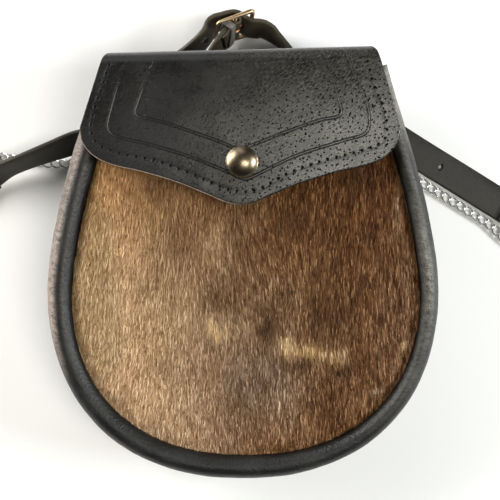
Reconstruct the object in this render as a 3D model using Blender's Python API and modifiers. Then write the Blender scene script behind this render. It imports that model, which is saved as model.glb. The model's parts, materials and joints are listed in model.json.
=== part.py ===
"""A day sporran: a leather pouch with a hide front, lying on its back with its strap and chains.

The pouch is modelled in its own frame, in millimetres: x across, y towards the mouth and z out
of the back panel. It is then tipped a little, because its top rests on its own strap. The
strap and the chains are modelled on the table, where z is the height above it.
"""

import math

import bmesh
import bpy
from mathutils import Matrix, Vector

MM = 0.001
GAP = 0.3  # between pieces that touch

# ---- the whole object, on the table
CENTRE_SHIFT = (5.2, -5.2)  # brings the middle of the object's box over the origin
POUCH_TILT = math.radians(6.0)
POUCH_X, POUCH_Y = -3.3, -15.8  # where the middle of the pouch's widest line lies

# ---- the pouch's outline
BODY_HALF_WIDTH = 93.3
BODY_DROP = 91.4  # from the widest line down to the bottom
BODY_RISE = 190.0  # where the sides would meet if they were not cut off at the mouth
BODY_TOP = 105.5
LOWER_POWER, UPPER_POWER = 2.25, 1.5

BACK_THICK, BACK_INSET, BACK_TOP = 2.4, 0.8, 103.0

# The gusset's outer surface, from the front seam over the soft roll and down to the flange on
# the back panel. The lip is the share of the front seam's own shift that a row follows.
GUSSET_THICK, GUSSET_STEPS = 1.8, 32
LIP_SHIFT, LIP_DROP = 1.3, 1.5  # the front seam lies to the right, and the bottom roll is wide
GUSSET_SECTION = [
    # inset from the outline, z, lip
    (10.5, 36.6, 1.0),
    (9.6, 40.6, 0.9),
    (6.6, 43.0, 0.5),
    (3.2, 42.2, 0.2),
    (0.9, 38.4, 0.0),
    (0.0, 31.0, 0.0),
    (2.2, 5.4, 0.0),
    (9.0, 2.75, 0.0),
]

# The front panel's middle surface at its edge, which is tucked under the roll
FRONT_THICK, FRONT_TOP, FRONT_STEPS = 2.0, 98.0, 31
FRONT_CROWN = 5.5
FRONT_FADE, FRONT_FADE_SHARE = 70.0, 0.45  # from this y on, the crown loses up to this share
FRONT_SECTION = [
    # inset from the outline, z
    (9.0, 33.9),
    (12.0, 35.6),
    (15.6, 38.0),
]
FRONT_RINGS = (0.82, 0.5, 0.0)  # the crowned part: shares of the way to its edge
FRONT_SPINE = 0.45  # the crown's ridge stops at this share of the drop

# ---- the flap
FLAP_THICK = 2.6
FLAP_SHIFT = -1.3
FLAP_TOP, FLAP_TOP_HALF, FLAP_TAIL = 112.6, 62.6, 86.0
FLAP_SLOPE = 0.026  # the fold is slightly out of square: it rises to the right
FLAP_FRONT_Z, FLAP_CROWN = 45.4, 3.2
FOLD_CROWN, CROWN_RISE = 0.3, 1.6  # the crown's share at the fold, and how fast it grows from there
FLAP_REAR_RADIUS, FLAP_FRONT_RADIUS = 6.0, 5.5
FLAP_EDGE = [
    # x from the flap's middle, y
    (0.0, 42.0),
    (6.0, 42.9),
    (14.0, 46.2),
    (28.0, 51.9),
    (44.0, 56.8),
    (58.0, 60.0),
    (66.0, 63.2),
    (71.0, 67.5),
    (73.6, 72.4),
    (74.2, 77.0),
]

# ---- the press stud
CAP_X, CAP_Y = -0.4, 61.8
CAP_RADIUS, CAP_HEIGHT = 7.6, 3.6
CAP_PROFILE = [
    # share of the radius, share of the height
    (0.0, 1.0),
    (0.30, 0.965),
    (0.58, 0.84),
    (0.82, 0.58),
    (0.97, 0.26),
    (1.0, 0.12),
    (0.96, 0.0),
    (0.0, 0.0),
]
POST_RADIUS = 4.5

# ---- tabs, rings and chains
RING_HALF, RING_LEG, RING_WIRE = 9.5, 2.2, 0.9
RING_HANG = math.radians(38.0)
BOW_STEPS = 7
TAB_BAR_X, TAB_Y = 52.0, 67.0
TAB_THICK, TAB_WIDTH, TAB_LENGTH = 1.8, 15.6, 24.0
TAB_TURN, TAB_CLOSE = 2.0, 10.0  # from the bar to where the strip leaves the panel, and to where it is back
LINKS = 30
LINK_WIRE, LINK_HALF_WIDTH, LINK_STRAIGHT = 0.61, 1.84, 0.84
LINK_TWIST = math.radians(51.0)
LINK_HOOK = 1.9  # from a ring's wire to the end of the link that hangs on it

# ---- the strap
STRAP_HALF, STRAP_THICK, SKIVED_THICK = 8.0, 2.4, 1.3
SKIVE_START, SKIVE_LENGTH = 1.0, 8.0  # from a bar, and how far the leather is pared
FOLD_POWER = 1.5  # how soon a folded end comes down on the strap
TIP_LENGTH, TIP_BLUNT, TIP_POWER = 13.0, 0.16, 0.62
HOLE_RADIUS, HOLE_SIDES, HOLE_CUT = 1.0, 8, 3.0  # the cutter reaches this far to each side
FIRST_HOLE = 49.9  # from the ring's bar along the strap
HOLES_TO_BUCKLE = 5  # hole spaces from the first hole to the one the prong is through
LARGEST_BEND, LARGEST_STEP = math.radians(15), 18.0
FOLD_STATIONS = (0.0, 1.8, 4.0, 6.0, 8.0, 10.0, 12.0)  # along a strap from a bar
KEEPER_STATIONS = FOLD_STATIONS[2:5]
KEEPER_THICK, KEEPER_EASE = 1.0, 0.4

# ---- the buckle, with its own axes: along the strap, up the strap's width, out of the loop
BUCKLE_CENTRE = Vector((-8.1, 111.1, 12.7))
BUCKLE_ALONG = Vector((0.901, 0.3585, -0.242)).normalized()
BUCKLE_UP = Vector((0.09, 0.39, 0.91)).normalized()
BUCKLE_OUT = BUCKLE_UP.cross(BUCKLE_ALONG).normalized()
BUCKLE_HALF_LENGTH, BUCKLE_HALF_WIDTH = 9.6, 10.7
BUCKLE_WIRE, BUCKLE_CORNER = 1.0, 1.8
PRONG_WIRE, PRONG_HOLE = 0.9, 1.3
PRONG_SLOT, SLOT_ALONG = (9.5, 8.0, 2.7), 0.5  # its size along, out and up, and where its middle is
PRONG_CROSSING = (5.0, 0.9)  # where the prong goes through the billet: along, out
PRONG_HOLE_ENDS = (2.2, -0.3), (8.0, 2.1)
PRONG_EYE = 2.2  # from the bar's middle to the wire's
PRONG_TIP = [
    # along the buckle, out of the loop
    (4.0, 0.4),
    (7.2, 1.6),
    (10.6, 2.25),
    (11.8, 2.1),
]

# ---- routes on the table. Roll turns the strap's width out of the level, in degrees, and is
# positive where the edge on the left of the route is raised.
BUCKLE_STRAP_ROUTE = [
    # x, y, z, roll
    (-141.0, 33.2, 4.6, 12.0),
    (-134.0, 36.0, 6.5, 38.0),
    (-124.0, 40.0, 10.6, 66.0),
    (-112.0, 44.8, 12.2, 68.0),
    (-100.0, 49.5, 11.2, 62.0),
    (-88.0, 54.4, 8.6, 56.0),
    (-73.0, 60.5, 8.4, 80.0),
    (-57.0, 66.5, 8.0, 112.0),
    (-41.0, 73.5, 7.0, 138.0),
    (-27.0, 81.5, 8.2, 164.0),
    (-19.4, 89.0, 11.2, 187.0),
    (-16.6, 94.8, 14.0, 212.0),
    (-15.8, 99.8, 16.4, 240.0),
]
BUCKLE_STRAP_END = [
    # along the buckle, out of the loop
    (-9.6, -4.7),
    (-6.2, -2.0),
    (-3.0, 0.4),
    (0.0, 1.95),
]
BILLET_ROUTE = [
    # x, y, z, roll
    (139.5, 15.8, 1.2, 0.0),
    (127.6, 23.2, 1.2, 0.0),
    (105.5, 37.0, 1.2, 0.0),
    (83.4, 50.7, 1.2, 0.0),
    (64.0, 63.5, 1.5, 8.0),
    (47.0, 76.0, 4.6, 36.0),
    (31.5, 89.0, 8.0, 70.0),
    (20.0, 100.6, 9.0, 90.0),
    (12.0, 107.6, 9.4, 104.0),
]
BILLET_THROUGH = [
    # along the buckle, out of the loop
    (13.4, -6.2),
    (10.0, -4.1),
    (7.3, -2.3),
    (5.3, 0.8),
    (3.1, 4.3),
    (0.0, 5.5),
    (-4.0, 6.0),
    (-9.0, 5.8),
]
TAIL_ROUTE = [
    # x, y, z, roll
    (-22.2, 106.6, 13.8, 107.0),
    (-32.0, 97.2, 10.6, 116.0),
    (-41.5, 89.8, 8.8, 132.0),
    (-50.0, 84.0, 7.6, 146.0),
]
LEFT_CHAIN_ROUTE = [
    # x, y, z, roll of the chain
    (-73.5, 49.0, 3.0, -28.0),
    (-80.0, 46.6, 2.2, -10.0),
    (-88.0, 44.8, 2.1, 0.0),
    (-97.0, 44.0, 2.1, 0.0),
    (-108.0, 44.6, 2.1, 0.0),
    (-120.0, 46.4, 2.1, 0.0),
    (-134.0, 48.4, 2.1, 0.0),
    (-148.0, 48.6, 2.1, 0.0),
    (-159.5, 44.0, 2.1, 0.0),
    (-166.0, 35.6, 2.2, 12.0),
    (-162.0, 27.2, 2.6, 30.0),
]
RIGHT_CHAIN_ROUTE = [
    # x, y, z, roll of the chain
    (68.5, 46.2, 3.0, -28.0),
    (77.2, 40.8, 2.2, -8.0),
    (88.0, 34.1, 2.1, 0.0),
    (99.3, 27.1, 2.1, 0.0),
    (110.4, 20.2, 2.1, 0.0),
    (121.4, 13.3, 2.1, 0.0),
    (130.5, 5.0, 2.1, 0.0),
    (138.8, -1.4, 2.1, 0.0),
    (147.2, -4.2, 2.1, 0.0),
    (154.2, -1.6, 2.2, 12.0),
    (155.4, 4.0, 2.6, 30.0),
]

# ---- finishes: colour, roughness, metallic
LEATHER = ((0.030, 0.029, 0.031), 0.5, 0.0)
HIDE = ((0.200, 0.130, 0.075), 0.8, 0.0)
BRASS = ((0.52, 0.40, 0.25), 0.32, 1.0)
OLD_BRASS = ((0.20, 0.16, 0.12), 0.35, 1.0)
STEEL = ((0.72, 0.71, 0.68), 0.25, 1.0)


# ---------------------------------------------------------------- scene


def new_collection(name):
    collection = bpy.data.collections.new(name)
    bpy.context.scene.collection.children.link(collection)
    return collection


def new_material(name, finish):
    colour, roughness, metallic = finish
    material = bpy.data.materials.new(name)
    material.use_nodes = True
    shader = material.node_tree.nodes["Principled BSDF"]
    shader.inputs["Base Color"].default_value = (*colour, 1.0)
    shader.inputs["Roughness"].default_value = roughness
    shader.inputs["Metallic"].default_value = metallic
    material.diffuse_color = (*colour, 1.0)
    return material


def new_empty(name, parent=None):
    empty = bpy.data.objects.new(name, None)
    parts.objects.link(empty)
    empty.parent = parent
    return empty


def add_piece(name, data, material, parent):
    piece = bpy.data.objects.new(name, data)
    data.materials.append(material)
    parts.objects.link(piece)
    piece.parent = parent
    if isinstance(data, bpy.types.Mesh):
        data.shade_smooth()
        data.set_sharp_from_angle(angle=math.radians(35))
    return piece


def add_cutter(name, mesh):
    cutter = bpy.data.objects.new(name, mesh)
    cutters.objects.link(cutter)
    cutter.parent = table
    cutter.display_type = "WIRE"
    cutter.hide_render = True
    return cutter


def combine(piece, cutter, operation):
    modifier = piece.modifiers.new(cutter.name, "BOOLEAN")
    modifier.operation = operation
    modifier.solver = "EXACT"
    modifier.object = cutter


def thicken(piece, thickness, offset):
    modifier = piece.modifiers.new("leather", "SOLIDIFY")
    modifier.thickness = thickness * MM
    modifier.offset = offset
    modifier.use_even_offset = True


# ---------------------------------------------------------------- lines


def distances(points):
    """How far along the line each point lies."""
    found = [0.0]
    for first, second in zip(points, points[1:]):
        found.append(found[-1] + (second - first).length)
    return found


def resample(points, count):
    """This many points, equally spaced along a line of points."""
    lengths = distances(points)
    result = []
    index = 0
    for step in range(count):
        target = lengths[-1] * step / (count - 1)
        while index < len(points) - 2 and lengths[index + 1] < target:
            index += 1
        share = (target - lengths[index]) / (lengths[index + 1] - lengths[index])
        result.append(points[index].lerp(points[index + 1], min(share, 1.0)))
    return result


def smooth_route(stations, parts_each=16):
    """Stations (x, y, z, roll) joined by one smooth curve that passes through each."""
    rows = [Vector(station) for station in stations]
    rows = [2 * rows[0] - rows[1], *rows, 2 * rows[-1] - rows[-2]]
    fine = []
    for before, first, second, after in zip(rows, rows[1:], rows[2:], rows[3:]):
        for part in range(parts_each):
            t = part / parts_each
            bend = 2 * before - 5 * first + 4 * second - after
            turn = 3 * first - before - 3 * second + after
            fine.append(0.5 * (2 * first + (second - before) * t + bend * t * t + turn * t**3))
    return [*fine, rows[-2]]


def route_frames(points):
    """(length so far, middle, along, across, out) at each point of a route with rolls."""
    frames = []
    last = len(points) - 1
    lengths = distances([point.xyz for point in points])
    for index, point in enumerate(points):
        along = (points[min(index + 1, last)].xyz - points[max(index - 1, 0)].xyz).normalized()
        side = Vector((-along.y, along.x, 0.0)).normalized()
        roll = math.radians(point.w)
        across = side * math.cos(roll) + along.cross(side) * math.sin(roll)
        frames.append((lengths[index], point.xyz, along, across, along.cross(across)))
    return frames


def frame_at(frames, length):
    return min(frames, key=lambda frame: abs(frame[0] - length))


def body_outline():
    """The outline from the right end of the mouth, round the bottom, to the left end."""
    right = []
    for step in range(41):
        y = BODY_TOP * (1 - step / 40)
        share = 1 - (y / BODY_RISE) ** UPPER_POWER
        right.append(Vector((BODY_HALF_WIDTH * share ** (1 / UPPER_POWER), y)))
    bottom = []
    for step in range(1, 160):
        angle = math.pi * step / 160
        reach = abs(math.cos(angle)) ** (2 / LOWER_POWER)
        side = BODY_HALF_WIDTH * math.copysign(reach, math.cos(angle))
        bottom.append(Vector((side, -BODY_DROP * math.sin(angle) ** (2 / LOWER_POWER))))
    left = [Vector((-point.x, point.y)) for point in reversed(right)]
    return right + bottom + left


def inset_outline(inset, lip, count):
    """The outline moved in by this much, and towards the front seam by the lip's share."""
    points = resample(body_outline(), count)
    moved = []
    for index, point in enumerate(points):
        before = points[max(index - 1, 0)]
        after = points[min(index + 1, count - 1)]
        along = (after - before).normalized()
        inward = Vector((along.y, -along.x))
        downward = max(inward.y, 0.0) ** 2
        reach = inset + LIP_DROP * lip * downward
        moved.append(point + inward * reach + Vector((LIP_SHIFT * lip, 0.0)))
    return moved


# ---------------------------------------------------------------- meshes


def mesh_of(name, bm, closed=True):
    bmesh.ops.recalc_face_normals(bm, faces=bm.faces)
    if closed and bm.calc_volume(signed=True) < 0:
        bmesh.ops.reverse_faces(bm, faces=bm.faces)
    mesh = bpy.data.meshes.new(name)
    bm.to_mesh(mesh)
    bm.free()
    return mesh


def surface_mesh(name, rows):
    """An open surface through rows of points."""
    bm = bmesh.new()
    grid = [[bm.verts.new(Vector(point) * MM) for point in row] for row in rows]
    for lower, upper in zip(grid, grid[1:]):
        for index in range(len(lower) - 1):
            corners = (lower[index], lower[index + 1], upper[index + 1], upper[index])
            bm.faces.new(corners)
    bmesh.ops.remove_doubles(bm, verts=bm.verts, dist=0.02 * MM)
    return mesh_of(name, bm, closed=False)


def loft_mesh(name, sections):
    """A solid through four-cornered sections. Opposite faces are split the same way, so that
    it keeps its thickness where it twists."""
    bm = bmesh.new()
    rings = [[bm.verts.new(Vector(point) * MM) for point in section] for section in sections]
    for first, second in zip(rings, rings[1:]):
        for index in range(4):
            after = (index + 1) % 4
            if index < 2:
                bm.faces.new((first[index], first[after], second[after]))
                bm.faces.new((first[index], second[after], second[index]))
            else:
                bm.faces.new((first[index], first[after], second[index]))
                bm.faces.new((first[after], second[after], second[index]))
    bm.faces.new(rings[0])
    bm.faces.new(rings[-1])
    return mesh_of(name, bm)


def wire_curve(name, points, radius, cyclic, resolution=1):
    """A round wire along points."""
    data = bpy.data.curves.new(name, "CURVE")
    data.dimensions = "3D"
    data.bevel_depth = radius * MM
    data.bevel_resolution = resolution
    data.use_fill_caps = not cyclic
    spline = data.splines.new("POLY")
    spline.points.add(len(points) - 1)
    for target, point in zip(spline.points, points):
        target.co = (*(Vector(point) * MM), 1.0)
    spline.use_cyclic_u = cyclic
    return data


def add_rod(bm, start, end, radius, sides):
    """A straight rod between two points."""
    axis = end - start
    place = axis.to_track_quat("Z", "Y").to_matrix().to_4x4()
    place.translation = (start + end) / 2 * MM
    bmesh.ops.create_cone(
        bm,
        cap_ends=True,
        segments=sides,
        radius1=radius * MM,
        radius2=radius * MM,
        depth=axis.length * MM,
        matrix=place,
    )


def box_mesh(name, centre, sizes):
    """A box that lies along the buckle's own axes."""
    turn = Matrix((BUCKLE_ALONG, BUCKLE_OUT, BUCKLE_UP)).transposed().to_4x4()
    place = Matrix.Translation(centre * MM) @ turn @ Matrix.Diagonal((*(Vector(sizes) * MM), 1.0))
    bm = bmesh.new()
    bmesh.ops.create_cube(bm, size=1.0, matrix=place)
    return mesh_of(name, bm)


def sleeve_mesh(name, inner, outer):
    """A loop of leather between inner and outer sections."""
    bm = bmesh.new()
    inside = [[bm.verts.new(point * MM) for point in section] for section in inner]
    outside = [[bm.verts.new(point * MM) for point in section] for section in outer]
    for index in range(4):
        after = (index + 1) % 4
        for rings in (inside, outside):
            for first, second in zip(rings, rings[1:]):
                bm.faces.new((first[index], first[after], second[after], second[index]))
        for end in (0, -1):
            near, far = inside[end], outside[end]
            bm.faces.new((near[index], near[after], far[after], far[index]))
    return mesh_of(name, bm)


# ---------------------------------------------------------------- the pouch


def make_back_panel():
    data = bpy.data.curves.new("back_panel", "CURVE")
    data.dimensions = "2D"
    data.fill_mode = "BOTH"
    data.extrude = BACK_THICK / 2 * MM
    outline = inset_outline(BACK_INSET, 0.0, 49)
    for point in outline:
        point.y = min(point.y, BACK_TOP)
    spline = data.splines.new("POLY")
    spline.points.add(len(outline) - 1)
    for target, point in zip(spline.points, outline):
        target.co = (point.x * MM, point.y * MM, 0.0, 1.0)
    spline.use_cyclic_u = True
    panel = add_piece("back_panel", data, black_leather, pouch)
    panel.location.z = BACK_THICK / 2 * MM


def make_gusset():
    rows = []
    for inset, z, lip in GUSSET_SECTION:
        edge = inset_outline(inset, lip, GUSSET_STEPS + 1)
        rows.append([(point.x, point.y, z) for point in edge])
    gusset = add_piece("gusset", surface_mesh("gusset", rows), black_leather, pouch)
    thicken(gusset, GUSSET_THICK, -1.0)


def crown(share, y):
    """How far the front stands out, this share of the way from its ridge to its edge."""
    towards_mouth = min(max((y - FRONT_FADE) / (FRONT_TOP - FRONT_FADE), 0.0), 1.0)
    return FRONT_CROWN * (1 - share**2) * (1 - FRONT_FADE_SHARE * towards_mouth**2)


def make_front_panel():
    rows = []
    for inset, z in FRONT_SECTION:
        edge = [p for p in inset_outline(inset, 1.0, 181) if p.y <= FRONT_TOP]
        edge = resample(edge, FRONT_STEPS)
        rows.append([(p.x, p.y, z) for p in edge])
    for share in FRONT_RINGS:
        row = []
        for p in edge:
            spine_y = p.y if p.y > 0 else p.y * FRONT_SPINE
            x = LIP_SHIFT + (p.x - LIP_SHIFT) * share
            y = spine_y + (p.y - spine_y) * share
            row.append((x, y, FRONT_SECTION[-1][1] + crown(share, y)))
        rows.append(row)
    half = FRONT_STEPS // 2
    rows[-1] = rows[-1][: half + 1] + rows[-1][:half][::-1]
    panel = add_piece("front_panel", surface_mesh("front_panel", rows), brown_hide, pouch)
    thicken(panel, FRONT_THICK, 0.0)


def flap_rows():
    """(y, z, share of the crown, how far from the fold to the edge), from the tail forward."""
    tail_z = -GAP - FLAP_THICK / 2
    wall_y = FLAP_TOP - FLAP_THICK / 2
    rows = [(FLAP_TAIL, tail_z, 0.0, 0.0)]
    for degrees in (0, 45, 90):
        angle = math.radians(degrees)
        y = wall_y - FLAP_REAR_RADIUS * (1 - math.sin(angle))
        z = tail_z + FLAP_REAR_RADIUS * (1 - math.cos(angle))
        rows.append((y, z, 0.0, 0.0))
    for degrees in (0, 30, 60, 90):
        angle = math.radians(degrees)
        y = wall_y - FLAP_FRONT_RADIUS * (1 - math.cos(angle))
        z = FLAP_FRONT_Z - FLAP_FRONT_RADIUS * (1 - math.sin(angle))
        rows.append((y, z, FOLD_CROWN * degrees / 90, 0.0))
    for share in (0.25, 0.6, 1.0):
        rows.append((y, FLAP_FRONT_Z, min(FOLD_CROWN + CROWN_RISE * share, 1.0), share))
    return rows


def make_flap():
    edge = [(-x, y) for x, y in reversed(FLAP_EDGE[1:])] + FLAP_EDGE
    widest = FLAP_EDGE[-1][0]
    rows = []
    for row_y, z, lift, share in flap_rows():
        row = []
        for x, edge_y in edge:
            top_x = x * FLAP_TOP_HALF / widest
            across = top_x + (x - top_x) * share
            y = row_y + (edge_y - row_y) * share + FLAP_SLOPE * across * (1 - share)
            bulge = FLAP_CROWN * lift * (1 - (across / widest) ** 2)
            row.append((across + FLAP_SHIFT, y, z + bulge))
        rows.append(row)
    flap = add_piece("flap", surface_mesh("flap", rows), black_leather, pouch)
    thicken(flap, FLAP_THICK, 0.0)


def add_turned(name, profile, place, steps):
    """A turned piece. Its profile runs from the top of the axis, down the side, to the base."""
    bm = bmesh.new()
    verts = [bm.verts.new((x * MM, 0.0, z * MM)) for x, z in profile]
    for first, second in zip(verts, verts[1:]):
        bm.edges.new((first, second))
    piece = add_piece(name, mesh_of(name, bm, closed=False), old_brass, pouch)
    piece.location = Vector(place) * MM
    screw = piece.modifiers.new("turn", "SCREW")
    screw.steps = steps
    screw.render_steps = steps
    screw.use_merge_vertices = True
    screw.merge_threshold = 0.00001


def make_press_stud():
    across = (CAP_X - FLAP_SHIFT) / FLAP_EDGE[-1][0]
    flap_z = FLAP_FRONT_Z + FLAP_CROWN * (1 - across**2)
    cap = [(CAP_RADIUS * x, CAP_HEIGHT * z) for x, z in CAP_PROFILE]
    add_turned("snap_cap", cap, (CAP_X, CAP_Y, flap_z + FLAP_THICK / 2 + GAP), 18)
    low = FRONT_SECTION[-1][1] + crown(0.0, CAP_Y) + FRONT_THICK / 2 + GAP
    high = flap_z - FLAP_THICK / 2 - GAP
    post = [(0.0, high - low), (POST_RADIUS, high - low), (POST_RADIUS, 0.0), (0.0, 0.0)]
    add_turned("snap_post", post, (CAP_X, CAP_Y, low), 16)


# ---------------------------------------------------------------- tabs, rings and chains


def make_ring(name, bar, outward, along):
    """A D-ring: a straight bar and a bow that points outward. Gives the bow's own axes."""
    start = bar + outward * RING_LEG
    points = [bar - along * RING_HALF, bar + along * RING_HALF]
    for step in range(BOW_STEPS + 1):
        angle = math.pi * step / BOW_STEPS
        bow = along * math.cos(angle) + outward * math.sin(angle)
        points.append(start + bow * RING_HALF)
    data = wire_curve(name, points, RING_WIRE, cyclic=True)
    add_piece(name, data, bright_steel, table)
    return start, outward, along


def hook_on(ring, target):
    """Where a chain that leads to the target hangs on a ring's bow, and the way its wire runs."""
    centre, outward, along = ring
    reach = target - centre
    pull = (outward * reach.dot(outward) + along * reach.dot(along)).normalized()
    return centre + pull * RING_HALF, pull.cross(outward.cross(along))


def make_tab(side):
    """A strip on the back that turns round a ring's bar and comes back under itself."""
    name = "left" if side < 0 else "right"
    top_z = -GAP - TAB_THICK / 2
    turn = RING_WIRE + GAP + TAB_THICK / 2
    path = [(TAB_BAR_X - back, top_z) for back in (TAB_LENGTH, TAB_CLOSE, TAB_TURN)]
    for step in range(7):
        angle = math.radians(90 - 30 * step)
        path.append((TAB_BAR_X + turn * math.cos(angle), top_z - turn * (1 - math.sin(angle))))
    close_z = top_z - TAB_THICK - GAP
    path.append((TAB_BAR_X - 2 * TAB_TURN, top_z - 2 * turn + 0.5))
    path += [(TAB_BAR_X - TAB_CLOSE, close_z), (TAB_BAR_X - TAB_LENGTH, close_z)]
    sections = []
    for index, point in enumerate(path):
        before = Vector(path[max(index - 1, 0)])
        along = (Vector(path[min(index + 1, len(path) - 1)]) - before).normalized()
        outer = Vector(point) + Vector((-along.y, along.x)) * TAB_THICK / 2
        inner = Vector(point) - Vector((-along.y, along.x)) * TAB_THICK / 2
        sections.append(
            [
                (side * surface.x, TAB_Y + reach * TAB_WIDTH / 2, surface.y)
                for surface, reach in ((outer, -1), (outer, 1), (inner, 1), (inner, -1))
            ]
        )
    add_piece("ring_tab_" + name, loft_mesh("ring_tab_" + name, sections), black_leather, pouch)
    bar = pouch_to_table @ Vector((side * TAB_BAR_X, TAB_Y, top_z - turn))
    tipped = pouch_to_table.to_3x3()
    outward = tipped @ Vector((side * math.cos(RING_HANG), 0.0, -math.sin(RING_HANG)))
    return make_ring("pouch_ring_" + name, bar, outward, tipped @ Vector((0.0, 1.0, 0.0)))


def link_shape():
    """One curb link: a ring drawn out along x and twisted, so that its ends cross."""
    bpy.ops.mesh.primitive_torus_add(
        major_segments=10,
        minor_segments=4,
        major_radius=LINK_HALF_WIDTH,
        minor_radius=LINK_WIRE,
    )
    ring = bpy.context.object
    points = []
    for vertex in ring.data.vertices:
        point = vertex.co + Vector((math.copysign(LINK_STRAIGHT, vertex.co.x), 0.0, 0.0))
        turn = LINK_TWIST * point.x / (LINK_HALF_WIDTH + LINK_STRAIGHT)
        points.append(Matrix.Rotation(turn, 3, "X") @ point)
    faces = [tuple(polygon.vertices) for polygon in ring.data.polygons]
    bpy.data.objects.remove(ring, do_unlink=True)
    return points, faces


def hooked_roll(along, wire, twist):
    """The roll of a link whose end, twisted this much, stands square to a ring's wire."""
    width = along.cross(wire)
    side = Vector((-along.y, along.x, 0.0)).normalized()
    turn = math.atan2(width.dot(along.normalized().cross(side)), width.dot(side)) - twist
    return math.degrees(turn - math.pi * round(turn / math.pi))


def link_places(route, first_ring, last_ring):
    """(middle, turn) of each link, from one ring to the other."""
    near, far = Vector(route[0][:3]), Vector(route[-1][:3])
    start, first_wire = hook_on(first_ring, near)
    end, last_wire = hook_on(last_ring, far)
    stations = [
        (*start, hooked_roll(near - start, first_wire, -LINK_TWIST)),
        *route,
        (*end, hooked_roll(end - far, last_wire, LINK_TWIST)),
    ]
    frames = route_frames(smooth_route(stations, 40))
    hooked = LINK_HALF_WIDTH + LINK_STRAIGHT - LINK_HOOK
    pitch = (frames[-1][0] - 2 * hooked) / (LINKS - 1)
    print(f"chain of {LINKS} links, {frames[-1][0]:.1f} mm, pitch {pitch:.3f} mm")
    places = []
    for link in range(LINKS):
        _, middle, along, across, out = frame_at(frames, hooked + pitch * link)
        places.append((middle, Matrix((along, across, out)).transposed()))
    return places


def links_mesh(name, places):
    points, faces = link_shape()
    bm = bmesh.new()
    for middle, turn in places:
        verts = [bm.verts.new((middle + turn @ point) * MM) for point in points]
        for face in faces:
            bm.faces.new([verts[index] for index in face])
    bmesh.ops.triangulate(bm, faces=bm.faces)
    return mesh_of(name, bm)


def make_chain(name, route, first_ring, last_ring):
    """Links that interlock. Every other link is apart; joined with the rest, they are one."""
    places = link_places(route, first_ring, last_ring)
    chain = add_piece(name, links_mesh(name, places[0::2]), bright_steel, table)
    others = add_cutter(name + "_other_links", links_mesh(name + "_others", places[1::2]))
    combine(chain, others, "UNION")


# ---------------------------------------------------------------- the strap


def strap_section(middle, across, out, half_width, thickness):
    wide = across * half_width
    thick = out * thickness / 2
    return [
        middle - wide - thick,
        middle + wide - thick,
        middle + wide + thick,
        middle - wide + thick,
    ]


def strap_frames(stations):
    """A strap's frames, raised where it would sink into the table."""
    points = smooth_route(stations)
    for point in points:
        roll = math.radians(point.w)
        resting = STRAP_HALF * abs(math.sin(roll)) + STRAP_THICK / 2 * abs(math.cos(roll))
        point.z = max(point.z, resting)
    return route_frames(points)


def thinned(frames, wanted=()):
    """The frames that a faceted strap needs: those wanted, and one after each bend or length."""
    wanted_frames = [frame_at(frames, length) for length in wanted]
    kept = [frames[0]]
    for frame in frames[1:-1]:
        bent = max(frame[2].angle(kept[-1][2]), frame[3].angle(kept[-1][3]))
        if frame in wanted_frames or bent > LARGEST_BEND or frame[0] - kept[-1][0] > LARGEST_STEP:
            kept.append(frame)
    return [*kept, frames[-1]]


def skived(length):
    """The strap's thickness this far from a folded end."""
    share = min(max((length - SKIVE_START) / SKIVE_LENGTH, 0.0), 1.0)
    return SKIVED_THICK + (STRAP_THICK - SKIVED_THICK) * share


def fold_lift(length, turn):
    """From the strap's middle to that of its folded end, this far from the bar."""
    close = (STRAP_THICK + SKIVED_THICK) / 2 + GAP
    return close + (2 * turn - close) * max(1 - length / SKIVE_LENGTH, 0.0) ** FOLD_POWER


def fold(frames, at_end, inward, wire):
    """A strap's end turned round a bar and laid back: (bar, the way it faces, sections).

    inward is 1 or -1, and says which side of the strap the bar is on, along its out direction.
    The sections run from the bar to the cut end.
    """
    _, middle, along, across, out = frames[-1 if at_end else 0]
    away = along if at_end else -along
    turn = wire + GAP + SKIVED_THICK / 2
    bar = middle + out * inward * turn
    sections = []
    for step in range(1, 8):
        angle = math.pi * step / 8
        spoke = away * math.sin(angle) - out * inward * math.cos(angle)
        facing = -spoke * inward
        sections.append(strap_section(bar + spoke * turn, across, facing, STRAP_HALF, SKIVED_THICK))
    for length in FOLD_STATIONS:
        _, middle, _, across, out = frame_at(frames, frames[-1][0] - length if at_end else length)
        place = middle + out * inward * fold_lift(length, turn)
        sections.append(strap_section(place, across, -out, STRAP_HALF, SKIVED_THICK))
    return bar, away, sections


def buckle_point(along, out, up=0.0):
    return BUCKLE_CENTRE + BUCKLE_ALONG * along + BUCKLE_OUT * out + BUCKLE_UP * up


def buckle_stations(places, upwards):
    """Stations in the buckle, rolled so that the strap's width lies along the buckle's."""
    points = [buckle_point(along, out) for along, out in places]
    stations = []
    for index, point in enumerate(points):
        after = points[min(index + 1, len(points) - 1)]
        along = (after - points[max(index - 1, 0)]).normalized()
        side = Vector((-along.y, along.x, 0.0)).normalized()
        roll = math.atan2(upwards.dot(along.cross(side)), upwards.dot(side))
        stations.append((*point, math.degrees(roll) % 360))
    return stations


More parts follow.
